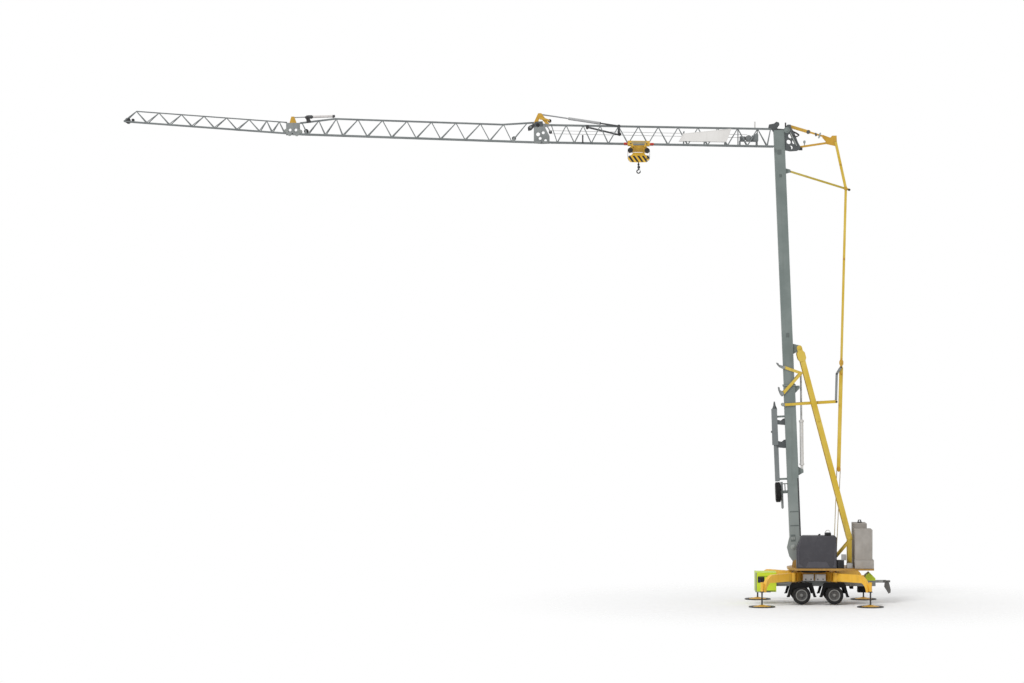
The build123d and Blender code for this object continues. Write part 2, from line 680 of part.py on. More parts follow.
def mast_upper():
    half = MAST_UP / 2
    outer, inner = mast_tube(MAST_JOINT_S, MAST_TOP_S, MAST_UP)
    edge = MAST_LOW / 2 + FLANGE_EDGE
    flange = mast_box(MAST_JOINT_S, MAST_JOINT_S + FLANGE_T, -edge, edge, -edge, edge)
    strut_lug = mast_slab(
        around((STRUT_TOP_S, 0), [(-250, half), (180, half), (80, STRUT_TOP_U + 70), (-80, STRUT_TOP_U + 70)]),
        110, 140,
    )
    knee_pin = mast_pin(KNEE_UPPER_S, KNEE_UPPER_U, 30, -290, 290)
    guide_lug = slab(
        [
            (GUIDE_STRUT_X + 60, GUIDE_STRUT_Z + 60), (GUIDE_STRUT_X + 60, GUIDE_STRUT_Z - 60),
            (GUIDE_STRUT_X - 200, GUIDE_STRUT_Z - 130), (GUIDE_STRUT_X - 200, GUIDE_STRUT_Z + 130),
        ],
        60, 85,
    )
    px, pz = PIVOT_X, PIVOT_Z
    head_lug = slab(
        around((px, pz), [(-60, 80), (75, 70), (80, -60), (-110, -520), (-150, -520), (-130, -100)]),
        110, 145,
    )
    cap = mast_box(MAST_TOP_S - 60, MAST_CAP_S, -half, half, half - GAP, half)
    sheave_lug = slab(
        [(px - 110, pz - 860), (px + 130, pz - 790), (px + 130, pz - 690), (px - 110, pz - 620)],
        45, 60,
    )
    sheave = pin(px + 90, pz - 740, 105, -35, 35)
    axle = pin(px + 90, pz - 740, 25, -60, 60)
    hole = pin(px, pz, PIVOT_R + RUN, -200, 200)
    strut_hole = mast_pin(STRUT_TOP_S, STRUT_TOP_U, 45 + RUN, -200, 200)
    pieces = [outer, flange, knee_pin, sheave, axle]
    for shape in (strut_lug, guide_lug, head_lug, cap, sheave_lug):
        pieces += both(shape)
    guide_pin = pin(GUIDE_STRUT_X, GUIDE_STRUT_Z, 25, -85, 85)
    return fused(pieces + [guide_pin]) - inner - hole - strut_hole


# Stowed tow bar and spare wheel on the front of the lower mast.
TOWBAR_U = -640.0
TOWBAR_S1 = 6500.0
TOWBAR_W = 190.0
SPARE_S = 3040.0
SPARE_U = -640.0
SPARE_R = 420.0
SPARE_T = 215.0


def stowed_towbar():
    half = TOWBAR_W / 2
    shift = 1500.0
    low = SPARE_S + SPARE_R + GAP
    column = mast_box(low, TOWBAR_S1 - shift, TOWBAR_U - half, TOWBAR_U + half, -half, half)
    head = mast_slab(
        around((TOWBAR_S1, TOWBAR_U), [(-shift, -1.6 * half), (0, -1.4 * half), (0, half), (-shift, half)]),
        -1.4 * half, 1.4 * half,
    )
    k = half - 12
    bored = mast_box(low - 1, TOWBAR_S1 - 40, TOWBAR_U - k, TOWBAR_U + k, -k, k)
    x0, z0 = on_mast(TOWBAR_S1, TOWBAR_U)
    x1, z1 = on_mast(TOWBAR_S1 + 300, TOWBAR_U)
    spike = rod((x0, 0, z0), (x1, 0, z1), 30)
    return fused([column - bored, head - bored, spike])


def spare_wheel():
    x0, z0 = on_mast(SPARE_S, SPARE_U - SPARE_T / 2)
    x1, z1 = on_mast(SPARE_S, SPARE_U + SPARE_T / 2)
    tyre = rod((x0, 0, z0), (x1, 0, z1), SPARE_R)
    tyre = fillet(tyre.edges().filter_by(GeomType.CIRCLE), 0.2 * SPARE_T)
    xa, za = on_mast(SPARE_S, SPARE_U - SPARE_T / 2 + 50)
    dish = rod((x0, 0, z0), (xa, 0, za), 0.55 * SPARE_R)
    return tyre - dish


# Erecting strut, its support, the cylinder and the arms round the mast.
strut_head = on_mast(STRUT_TOP_S, STRUT_TOP_U)
strut_outer = STRUT_INNER + STRUT_WIDTH


def strut():
    foot = (STRUT_FOOT_X, STRUT_FOOT_Z)
    leg = flat_link(foot, strut_head, STRUT_DEPTH, STRUT_INNER, strut_outer)
    y = STRUT_INNER + STRUT_WIDTH / 2 - STRUT_SKIN
    low = along(foot, strut_head, 0.03)
    high = along(foot, strut_head, 0.97)
    channel = bar(
        (low[0], y, low[1]),
        (high[0], y, high[1]),
        STRUT_DEPTH - 2 * STRUT_SKIN, STRUT_WIDTH,
    )
    leg = leg - channel
    head = pin(strut_head[0], strut_head[1], 45, -strut_outer, strut_outer)
    x = foot[0] + 0.62 * (strut_head[0] - foot[0])
    z = foot[1] + 0.62 * (strut_head[1] - foot[1])
    tie = pin(x, z, 50, -strut_outer, strut_outer)
    return fused(both(leg) + [head, tie]) - pin(foot[0], foot[1], 40 + RUN, -strut_outer - 1, strut_outer + 1)


def strut_support():
    x0 = STRUT_FOOT_X - POST_SIDE / 2
    x1 = STRUT_FOOT_X + POST_SIDE / 2
    y0 = STRUT_INNER - 25
    y1 = strut_outer + 25
    shelf = STRUT_FOOT_Z - STRUT_DEPTH / 2 - GAP
    post = block(x0, x1, y0, y1, DECK_TOP, shelf)
    cheeks = [
        block(x0, x1, y0, STRUT_INNER - RUN, shelf, STRUT_FOOT_Z + 85),
        block(x0, x1, strut_outer + RUN, y1, shelf, STRUT_FOOT_Z + 85),
    ]
    bolt = pin(STRUT_FOOT_X, STRUT_FOOT_Z, 40, y0, y1)
    brace = bar((x0 + 20, y0 + 40, shelf - 40), (585, y0 + 40, DECK_TOP + 30), 80, 60)
    sole = block(540, 660, y0, y0 + 80, DECK_TOP, DECK_TOP + 30)
    cut = block(0, 3000, 0, 2000, 0, DECK_TOP)
    return Compound(children=both(fused([post, bolt, brace, sole] + cheeks) - cut))


cyl_foot = on_mast(CYL_FOOT_S, CYL_FOOT_U)
knee = on_mast(KNEE_S, KNEE_U)


def erecting_cylinder():
    a = along(cyl_foot, knee, 0.06)
    b = along(cyl_foot, knee, 0.52)
    barrel = rod((a[0], 0, a[1]), (b[0], 0, b[1]), BARREL_R)
    neck = bar((cyl_foot[0], 0, cyl_foot[1]), (a[0], 0, a[1]), 110, 100)
    eye = pin(cyl_foot[0], cyl_foot[1], 65, -50, 50)
    return fused([barrel, neck, eye]) - pin(cyl_foot[0], cyl_foot[1], 30 + RUN, -100, 100)


def erecting_rod():
    b = along(cyl_foot, knee, 0.52)
    shaft = rod((b[0], 0, b[1]), (knee[0], 0, knee[1]), ROD_R)
    eye = pin(knee[0], knee[1], 65, -50, 50)
    return fused([shaft, eye]) - pin(knee[0], knee[1], 35 + RUN, -100, 100)


def knee_arms():
    y0 = MAST_LOW / 2 + 10
    upper = flat_link(on_mast(KNEE_UPPER_S, KNEE_UPPER_U), knee, KNEE_ARM_W, y0, y0 + 22)
    upper = upper - mast_pin(KNEE_UPPER_S, KNEE_UPPER_U, 30 + RUN, -400, 400)
    upper = upper - pin(knee[0], knee[1], 35 + RUN, -400, 400)
    lower = flat_link(on_mast(KNEE_LOWER_S, KNEE_LOWER_U), knee, KNEE_ARM_W, y0 + 30, y0 + 55)
    bolt = pin(knee[0], knee[1], 35, -y0 - 55, y0 + 55)
    frame = fused(both(lower) + [bolt]) - mast_pin(KNEE_LOWER_S, KNEE_LOWER_U, 30 + RUN, -400, 400)
    return Compound(children=both(upper) + [frame])


def guide_arm():
    y0 = MAST_LOW / 2 + 40
    p = on_mast(GUIDE_S, GUIDE_U)
    q = (GUIDE_END_X, GUIDE_END_Z)
    side = flat_link(p, q, GUIDE_W, y0, y0 + 25) - mast_pin(GUIDE_S, GUIDE_U, 30 + RUN, -400, 400)
    bolt = pin(q[0], q[1], 25, TIE_IN + TIE_T + GAP, y0 + 25)
    return Compound(children=both(fused([side, bolt])))


def guide_link():
    p = (GUIDE_END_X, GUIDE_END_Z)
    mid = (GUIDE_END_X + 30, LINK_TOP_Z - 280)
    q = (LINK_TOP_X, LINK_TOP_Z)
    y0 = 150.0
    one = fused([flat_link(p, mid, 80, y0, y0 + 22), flat_link(mid, q, 80, y0, y0 + 22)])
    one = one - pin(p[0], p[1], 25 + RUN, 0, 400)
    return Compound(children=both(one))


# Tie line: ropes at the foot, a lower tie, an upper tie and the guide strut that steadies their joint.
tie_knee = (TIE_KNEE_X, TIE_KNEE_Z)
tie_block = (TIE_BLOCK_X, TIE_BLOCK_Z)
tie_head = (TIE_HEAD_X, TIE_HEAD_Z)
TIE_IN = 95.0
TIE_SHEAVE_R = 60.0


def tie_ropes():
    gap = TIE_SHEAVE_R + 12.0
    return Compound(children=[
        rod((TIE_FOOT_X + s * 50, 0, DECK_TOP + 40 + RUN), (TIE_BLOCK_X + s * gap, 0, TIE_BLOCK_Z), 10)
        for s in (1, -1)
    ])


def tie_lower():
    middle = along(tie_knee, tie_block, 0.64)
    thin = flat_link(tie_knee, middle, 90, TIE_IN, TIE_IN + TIE_T)
    wide = flat_link(middle, tie_block, 147, TIE_IN, TIE_IN + TIE_T)
    head = pin(tie_knee[0], tie_knee[1], 75, TIE_IN, TIE_IN + TIE_T)
    pieces = both(fused([thin, wide, head]))
    for f in (0.25, 0.62, 0.66):
        x, z = along(tie_knee, tie_block, f)
        pieces.append(pin(x, z, 22, -TIE_IN - TIE_T, TIE_IN + TIE_T))
    pieces.append(pin(tie_block[0], tie_block[1], TIE_SHEAVE_R, -25, 25))
    pieces.append(pin(tie_block[0], tie_block[1], 22, -TIE_IN - TIE_T, TIE_IN + TIE_T))
    return fused(pieces) - pin(tie_knee[0], tie_knee[1], TIE_PIN_R + RUN, -200, 200)


def tie_upper():
    side = flat_link(tie_head, tie_knee, 105, 60, 60 + TIE_T)
    bolt = pin(tie_knee[0], tie_knee[1], TIE_PIN_R, -TIE_IN - TIE_T - 20, TIE_IN + TIE_T + 20)
    x, z = along(tie_head, tie_knee, 0.5)
    spacer = pin(x, z, 22, -60, 60)
    return fused(both(side) + [bolt, spacer])


def guide_strut():
    p = (GUIDE_STRUT_X, GUIDE_STRUT_Z)
    reach = math.hypot(tie_knee[0] - p[0], tie_knee[1] - p[1])
    tail = along(p, tie_knee, 1 + GUIDE_STRUT_TAIL / reach)
    tube = flat_link(p, tail, 85, -40, 40, 1.2)
    holes = [pin(p[0], p[1], 25 + RUN, -100, 100), pin(tie_knee[0], tie_knee[1], TIE_PIN_R + RUN, -100, 100)]
    return tube - holes


# Jib sections.
def spread(start, end, panels):
    """Places along a chord between two ends, with panels of the given relative lengths."""
    out = [start]
    for panel in panels:
        out.append(out[-1] + panel * (end - start) / sum(panels))
    return out


def height_at(line, t):
    for (t0, h0), (t1, h1) in zip(line, line[1:]):
        if t <= t1:
            return h0 + (h1 - h0) * (t - t0) / (t1 - t0)
    return line[-1][1]


class Section:
    """A lattice section measured along its lower chords (t), square to them (h) and across (y)."""

    def __init__(self, x, z, slope):
        self.x = x
        self.z = z
        self.a = math.radians(slope)

    def at(self, t, h, y=0.0):
        c, s = math.cos(self.a), math.sin(self.a)
        return (self.x - t * c + h * s, y, self.z + t * s + h * c)

    def flat(self, t, h):
        p = self.at(t, h)
        return (p[0], p[2])

    def box(self, t0, t1, h0, h1, y0, y1):
        return slab([self.flat(t0, h0), self.flat(t1, h0), self.flat(t1, h1), self.flat(t0, h1)], y0, y1)

    def lattice(self, length, low, high, top_line, chord, top_chord, tail=0.0):
        """Chords, zigzag lacing on both sides and a laced floor, with hollow chords."""
        solids = []
        voids = []
        ends = ((0.0, length),)
        for y in (-CHORD_HALF, CHORD_HALF):
            solids.append(self.box(0, length, -chord / 2, chord / 2, y - chord / 2, y + chord / 2))
            k = chord / 2 - CHORD_WALL
            voids.append(self.box(-9, length + 9, -k, k, y - k, y + k))
        for (t0, h0), (t1, h1) in zip(top_line, top_line[1:]):
            grow = 0.25 * top_chord
            p = self.at(t0 - (grow if t0 > top_line[0][0] else 0), h0)
            q = self.at(t1, h1)
            solids.append(bar(p, q, top_chord, top_chord))
            k = top_chord - 2 * CHORD_WALL
            voids.append(bar(p, q, k, k))
        zigzag = sorted([(t, 0.0) for t in low] + [(t, height_at(top_line, t)) for t in high])
        for (t0, h0), (t1, h1) in zip(zigzag, zigzag[1:]):
            for y in (-CHORD_HALF, CHORD_HALF):
                p = self.at(t0, h0, 0.0 if h0 else y)
                q = self.at(t1, h1, 0.0 if h1 else y)
                face = Vector(math.cos(self.a), 0, -math.sin(self.a)).cross(Vector(*q) - Vector(*p))
                solids.append(bar(p, q, LACE_W, LACE_T, tuple(face)))
        side = 1
        for i, t in enumerate(low):
            ends = (self.at(t, 0, -CHORD_HALF), self.at(t, 0, CHORD_HALF))
            solids.append(bar(ends[0], ends[1], LACE_W, LACE_T, self.up()))
            if i + 1 < len(low):
                p = self.at(t, 0, -side * CHORD_HALF)
                q = self.at(low[i + 1], 0, side * CHORD_HALF)
                solids.append(bar(p, q, LACE_W, LACE_T, self.up()))
                side = -side
        return solids, voids

    def up(self):
        return (math.sin(self.a), 0, math.cos(self.a))


root = Section(ROOT_X, ROOT_Z, ROOT_SLOPE)
mid_start = root.flat(ROOT_LENGTH + FOLD1_GAP, FOLD1_STEP)
mid = Section(mid_start[0], mid_start[1], MID_SLOPE)
tip_start = mid.flat(MID_LENGTH + FOLD2_GAP, FOLD2_STEP)
tip = Section(tip_start[0], tip_start[1], TIP_SLOPE)
APEX1 = root.flat(ROOT_LENGTH + APEX1_OUT, ROOT_DEPTH + APEX1_RISE)
APEX2 = mid.flat(MID_LENGTH + APEX2_OUT, MID_END_DEPTH + APEX2_RISE)


def middles(nodes):
    return [(a + b) / 2 for a, b in zip(nodes, nodes[1:])]


ROOT_LOW = spread(ROOT_FIRST, ROOT_LENGTH - ROOT_LAST, [7] * 8 + [6] * 3)
MID_LOW = spread(MID_FIRST, MID_LENGTH - MID_LAST, [5] + [5.54] * 6 + [3.95, 3.95])
TIP_LOW = spread(TIP_FIRST, TIP_LENGTH - TIP_LAST, [5] * 2 + [9] * 5)


def jib_root():
    high = [150.0] + middles(ROOT_LOW) + [ROOT_LENGTH - 60.0]
    top = [(ROOT_TOP_END, ROOT_DEPTH), (ROOT_LENGTH, ROOT_DEPTH)]
    solids, voids = root.lattice(ROOT_LENGTH, ROOT_LOW, high, top, CHORD, ROOT_TOP_CHORD)
    h0 = -CHORD / 2
    for side in (1, -1):
        y0, y1 = sorted((side * (CHORD_HALF + CHORD / 2 - 5), side * (CHORD_HALF + CHORD / 2 + TRACK_W)))
        solids.append(root.box(0, ROOT_LENGTH, h0, h0 + TRACK_T, y0, y1))
    k = CHORD / 2
    inner = CHORD_HALF - CHORD / 2 + 5
    end = FOLD1_X1
    z_low = root.at(ROOT_LENGTH, 0)[2]
    z_top = root.at(ROOT_LENGTH, ROOT_DEPTH)[2]
    solids.append(block(end, end + CHORD, -inner, inner, z_low - k, z_low + k))
    solids.append(block(end, end + CHORD, -FOLD_Y, FOLD_Y, z_top - k, z_top + k))
    x, z = root.flat(FOLD_TAIL_T, ROOT_DEPTH)
    solids.append(block(x - 30, x + 30, -57, 57, z - 30, z + 30))
    return fused(solids) - voids


FOLD_TAIL_T = ROOT_LENGTH - FOLD_TAIL
FOLD1_X0 = mid.x
FOLD1_X1 = root.at(ROOT_LENGTH, 0)[0]
FOLD2_X0 = tip.x
FOLD2_X1 = mid.at(MID_LENGTH, 0)[0]


def jib_mid():
    high = [MID_FIRST / 3] + [a + 0.4 * (b - a) for a, b in zip(MID_LOW, MID_LOW[1:])] + [MID_LENGTH - CHORD]
    fall = MID_LENGTH - MID_FALL_T
    start = (0.0, MID_DEPTH + MID_RISE)
    top = [start, (MID_RISE_T, MID_DEPTH), (fall, MID_DEPTH), (MID_LENGTH, MID_END_DEPTH)]
    solids, voids = mid.lattice(MID_LENGTH, MID_LOW, high, top, CHORD, MID_TOP_CHORD)
    k = CHORD / 2
    inner = CHORD_HALF - CHORD / 2 + 5
    z = mid.at(0, 0)[2]
    zt = mid.at(0, MID_DEPTH + MID_RISE)[2]
    solids.append(block(FOLD1_X0 - CHORD, FOLD1_X0, -inner, inner, z - k, z + k))
    solids.append(block(FOLD1_X0 - CHORD, FOLD1_X0, -FOLD_Y, FOLD_Y, zt - 60, zt + 20))
    z = mid.at(MID_LENGTH, 0)[2]
    zt = mid.at(MID_LENGTH, MID_END_DEPTH)[2]
    solids.append(block(FOLD2_X1, FOLD2_X1 + CHORD, -inner, inner, z - k, z + k))
    solids.append(block(FOLD2_X1, FOLD2_X1 + CHORD, -FOLD_Y, FOLD_Y, zt - k, zt + k))
    return fused(solids) - voids


def jib_tip():
    high = middles(TIP_LOW) + [TIP_LOW[-1] + 470.0]
    top = [(0.0, TIP_DEPTH), (high[-1], TIP_DEPTH)]
    solids, voids = tip.lattice(TIP_LENGTH, TIP_LOW, high, top, TIP_CHORD, TIP_CHORD - 6)
    k = TIP_CHORD / 2
    inner = CHORD_HALF - k + 5
    z = tip.at(0, 0)[2]
    zt = tip.at(0, TIP_DEPTH)[2]
    solids.append(block(FOLD2_X0 - TIP_CHORD, FOLD2_X0, -inner, inner, z - k, z + k))
    solids.append(block(FOLD2_X0 - TIP_CHORD, FOLD2_X0, -FOLD_Y, FOLD_Y, zt - k, zt + k))
    for y in (-CHORD_HALF, CHORD_HALF):
        nose = bar(tip.at(high[-1], TIP_DEPTH, 0), tip.at(TIP_LENGTH, 0, y), LACE_W, LACE_W)
        solids.append(nose)
    solids.append(tip.box(TIP_LENGTH - 40, TIP_LENGTH, -k, k, -inner, inner))
    x, z = tip.flat(TIP_LENGTH - 160, 10)
    solids.append(pin(x, z, 25, -inner, inner))
    solids.append(pin(x, z, 100, -40, 40))
    return fused(solids) - voids


def fold_plates():
    out = []
    low1 = root.at(ROOT_LENGTH, 0)[2]
    high1 = root.at(ROOT_LENGTH, ROOT_DEPTH)[2] + 40
    first = slab(
        [
            (FOLD1_X0, low1 - 30), (FOLD1_X1, low1 - 30), (FOLD1_X1, low1 + 270),
            (FOLD1_X1 - 190, high1 - 130), (FOLD1_X1, high1 - 90), (FOLD1_X1, high1), (FOLD1_X0, high1 + 60),
        ],
        FOLD_Y - FOLD_T, FOLD_Y,
    )
    for dx, dz, radius in FOLD1_HOLES:
        first = first - pin(FOLD1_X0 + dx, low1 + dz, radius, 0, 200)
    out += both(first)
    low2 = mid.at(MID_LENGTH, 0)[2]
    high2 = mid.at(MID_LENGTH, MID_END_DEPTH)[2]
    second = slab(
        [(FOLD2_X0, low2 - 40), (FOLD2_X1, low2 - 30), (FOLD2_X1, high2 + 10), (FOLD2_X0, high2 + 10)],
        FOLD_Y - FOLD_T, FOLD_Y,
    )
    cx = (FOLD2_X0 + FOLD2_X1) / 2
    for dx in (-120, 120):
        second = second - pin(cx + dx, low2 + 180, 60, 0, 200)
    out += both(second)
    return Compound(children=out)


def fold_levers():
    high1 = root.at(ROOT_LENGTH, ROOT_DEPTH)[2] + 40
    y0, y1 = FOLD_Y - FOLD_T, FOLD_Y
    a = APEX1
    span = FOLD1_X1 - FOLD1_X0
    outer = slab(
        [(FOLD1_X0, high1 + 60), (FOLD1_X1, high1), (a[0] + 70, a[1] + 40), (a[0] - 70, a[1] + 40)], y0, y1
    )
    notch = slab(
        [
            (FOLD1_X0 + 0.24 * span, high1 - 5), (FOLD1_X1 - 0.22 * span, high1 - 5),
            (a[0] + 8, a[1] - 130), (a[0] - 8, a[1] - 130),
        ],
        0, 200,
    )
    one = fused(both(outer - notch) + [pin(a[0], a[1], 28, -y1, y1)])
    high2 = mid.at(MID_LENGTH, MID_END_DEPTH)[2] + 10
    b = APEX2
    outer = slab(
        [(b[0] - 130, high2), (b[0] + 150, high2), (b[0] + 60, b[1] + 40), (b[0] - 60, b[1] + 40)], y0, y1
    )
    two = fused(both(outer) + [pin(b[0], b[1], 28, -y1, y1)])
    return Compound(children=[one, two])


def fold_cylinders():
    start = APEX1
    tail = root.flat(FOLD_TAIL_T, ROOT_DEPTH + 10)
    a = along(start, tail, 0.36)
    b = along(start, tail, 0.77)
    stem = rod((start[0], 0, start[1]), (a[0], 0, a[1]), 28)
    eye = pin(start[0], start[1], 50, -50, 50)
    barrel = rod((a[0], 0, a[1]), (b[0], 0, b[1]), 58)
    c = along(start, tail, 0.74)
    straps = both(bar((c[0], 66, c[1]), (tail[0], 66, tail[1]), 60, 18))
    bridge = pin(c[0], c[1], 40, -75, 75)
    d = root.flat(FOLD_TAIL_T + 1300, ROOT_DEPTH - 60)
    e = root.flat(FOLD_TAIL_T, ROOT_DEPTH - 350)
    hanger = both(bar((tail[0], 66, tail[1] + 60), (e[0], 66, e[1]), 100, 18))
    link = both(bar((d[0], 66, d[1]), (e[0], 66, e[1]), 70, 18))
    first = fused([stem, eye, barrel, bridge] + straps + hanger + link)
    first = first - pin(start[0], start[1], 28 + RUN, -200, 200)
    p = APEX2
    fall = MID_LENGTH - MID_FALL_T
    q = mid.flat(fall, MID_DEPTH + 115)
    m = along(p, q, 0.32)
    n = along(p, q, 0.46)
    stem2 = rod((p[0], 0, p[1]), (m[0], 0, m[1]), 22)
    eye2 = pin(p[0], p[1], 42, -50, 50)
    gland = rod((m[0], 0, m[1]), (n[0], 0, n[1]), 75)
    barrel2 = rod((n[0], 0, n[1]), (q[0], 0, q[1]), 52)
    shoe = mid.box(fall + 40, fall + 110, MID_DEPTH + MID_TOP_CHORD / 2, MID_DEPTH + 110, -30, 30)
    second = fused([stem2, eye2, gland, barrel2, shoe]) - pin(p[0], p[1], 28 + RUN, -200, 200)
    return [first, second]


# Frame at the jib foot and the yellow lever behind it.
def jib_foot_frame():
    p = (PIVOT_X, PIVOT_Z)
    top = root.flat(ROOT_TOP_END, ROOT_DEPTH)
    link = bar((top[0], 0, top[1]), (p[0], 0, p[1]), ROOT_TOP_CHORD, ROOT_TOP_CHORD)
    hub = pin(p[0], p[1], 85, -90, 90)
    y0 = MAST_UP / 2 + GAP
    cheek = slab(
        around(p, [
            (-85, -60), (-75, 80), (30, 230), (150, 230), (200, 60), (290, -60),
            (465, -515), (565, -690), (540, -800), (430, -850), (150, -870), (-50, -826),
        ]),
        y0, y0 + 22,
    )
    holes = [
        pin(p[0] + 150, p[1] - 240, 95, 0, 400),
        pin(p[0] + 85, p[1] - 480, 95, 0, 400),
        pin(p[0] + 300, p[1] - 490, 85, 0, 400),
        pin(p[0] + 180, p[1] - 710, 80, 0, 400),
    ]
    pieces = both(cheek - holes)
    pieces.append(pin(p[0], p[1], PIVOT_R, -y0 - 22, y0 + 22))
    pieces.append(pin(LEVER_TOP[0], LEVER_TOP[1], 38, -y0 - 22, y0 + 22))
    pieces.append(pin(LEVER_LOW[0], LEVER_LOW[1], 38, -y0 - 22, y0 + 22))
    hump = slab(
        around(top, [
            (-133, 45), (-100, 190), (100, 225), (200, 305), (315, 270), (330, 170),
            (248, 55), (230, -55), (130, -150), (35, -90), (20, 45),
        ]),
        -60, 60,
    )
    return fused([link, hub, hump] + pieces)


LEVER_TOP = (PIVOT_X + 90.0, PIVOT_Z + 175.0)
LEVER_LOW = (PIVOT_X + 500.0, PIVOT_Z - 700.0)


def rear_lever():
    k = tie_head
    head = slab(
        around(k, [
            (-527, 244), (-212, 127), (-129, 210), (54, 210), (71, -240),
            (-29, -220), (-344, -150), (-440, -120), (-400, -38), (-540, 120),
        ]),
        -25, 25,
    )
    b = (k[0] - 500, k[1] + 180)
    a = along(LEVER_TOP, b, 0.57)
    arm_bar = bar((LEVER_TOP[0], 0, LEVER_TOP[1]), (a[0], 0, a[1]), 130, 110)
    thin = bar((a[0], 0, a[1]), (b[0], 0, b[1]), 75, 75)
    clevis = pin(a[0], a[1], 85, -60, 60)
    low = bar((LEVER_LOW[0], 0, LEVER_LOW[1]), (k[0] - 350, 0, k[1] - 95), 85, 85)
    bolt = pin(k[0], k[1], TIE_PIN_R, -50, 50)
    return fused([head, arm_bar, thin, clevis, low, bolt])


def sign_panels():
    y = CHORD_HALF + 5
    sheet = slab(
        [
            root.flat(SIGN_BACK + SIGN_LEAN, SIGN_LOW), root.flat(SIGN_BACK - SIGN_LEAN, SIGN_BACK_TOP),
            root.flat(SIGN_FRONT - SIGN_LEAN, SIGN_FRONT_TOP), root.flat(SIGN_FRONT + SIGN_LEAN, SIGN_LOW),
        ],
        y, y + SIGN_SHEET,
    )
    back, front = SIGN_BACK - SIGN_LEAN, SIGN_FRONT + 1.5 * SIGN_LEAN
    posts = []
    for t in (back, (back + front) / 2, front):
        half = SIGN_POST / 2
        posts.append(root.box(t - half, t + half, CHORD / 2, SIGN_POST_H, y, y + SIGN_SHEET))
    return both(fused([sheet] + posts))


def trolley_winch():
    lift = LACE_T / 2
    base = root.box(650, 1480, lift, lift + 12, -300, 300)
    legs = [root.box(t, t + 60, lift + 12, 180, -200, 200) for t in (690, 1380)]
    bed = root.box(690, 1440, 180, 200, -220, 220)
    p = root.at(1040, 320, -190)
    q = root.at(1040, 320, 190)
    drum = rod(p, q, 120)
    motor = root.box(1180, 1420, 200, 390, -110, 110)
    gear = root.box(720, 920, 200, 440, -110, 110)
    stands = both(root.box(1000, 1080, 200, 360, 185, 215))
    return fused([base, bed, drum, motor, gear] + legs + stands)


# Trolley on the root section, with the hook block below.
def trolley():
    t0 = TROLLEY_T
    y0 = CHORD_HALF + CHORD / 2 + TRACK_W + 5
    side = root.box(t0 - TROLLEY_HALF, t0 + TROLLEY_HALF, -75, 125, y0, y0 + PLATE_T)
    pieces = both(side)
    h = -CHORD / 2 + TRACK_T + ROLLER_R + RUN
    for dt in (-330, 330):
        x, z = root.flat(t0 + dt, h)
        pieces += both(pin(x, z, ROLLER_R, CHORD_HALF + CHORD / 2 + 5, y0 - 5))
        pieces += both(pin(x, z, 16, CHORD_HALF + CHORD / 2 + 5, y0 + PLATE_T))
    for dt in (-250, 250):
        pieces.append(root.box(t0 + dt - 40, t0 + dt + 40, -115, -75, -y0 - PLATE_T, y0 + PLATE_T))
    for y in (-y0 - PLATE_T, y0):
        for sign in (-1, 1):
            a, b = sorted((sign * TROLLEY_HALF, sign * (TROLLEY_HALF + 170)))
            pieces.append(root.box(t0 + a, t0 + b, -30, 30, y, y + PLATE_T))
    side = [(300, -75), (450, -220), (400, -380), (150, -330)]
    edge = [(-dt, h) for dt, h in side] + [(dt, h) for dt, h in reversed(side)]
    cheek = slab([root.flat(t0 + dt, h) for dt, h in edge], CHEEK_IN, CHEEK_IN + CHEEK_T)
    pieces += both(cheek)
    for dt in (-SHEAVE_OFFSET, SHEAVE_OFFSET):
        x, z = root.flat(t0 + dt, -SHEAVE_DROP)
        pieces.append(pin(x, z, SHEAVE_R, -38, 38))
        pieces.append(pin(x, z, 24, -CHEEK_IN - CHEEK_T, CHEEK_IN + CHEEK_T))
    return fused(pieces)


hang_x, hang_z = root.flat(TROLLEY_T, -SHEAVE_DROP)


def hoist_falls():
    out = []
    for side in (-1, 1):
        for edge in (-1, 1):
            x = hang_x + side * SHEAVE_OFFSET + edge * (SHEAVE_R + ROPE_R + ROPE_GAP)
            top = root.flat(TROLLEY_T - side * SHEAVE_OFFSET, -SHEAVE_DROP)[1]
            out.append(rod((x, 0, BLOCK_SHEAVE_Z), (x, 0, top), ROPE_R))
    return Compound(children=out)


def hook_block():
    low, top = BLOCK_BOTTOM_Z, BLOCK_TOP_Z
    side = [(0.5, top + BLOCK_CREST), (0.65, top), (1, top - 80), (1, low + 110), (0.8, low + 10), (0.2, low)]
    left = [(hang_x - f * BLOCK_HALF, z) for f, z in side]
    right = [(hang_x + f * BLOCK_HALF, z) for f, z in reversed(side)]
    pieces = both(slab(left + right, 48, 60))
    for side in (-1, 1):
        x = hang_x + side * SHEAVE_OFFSET
        pieces.append(pin(x, BLOCK_SHEAVE_Z, SHEAVE_R, -38, 38))
        pieces.append(pin(x, BLOCK_SHEAVE_Z, 24, -60, 60))
    pieces.append(block(hang_x - 75, hang_x + 75, -48, 48, low, low + 90))
    shank = rod((hang_x, 0, low - 1), (hang_x, 0, low + 91), SHANK_R + RUN)
    return fused(pieces) - shank


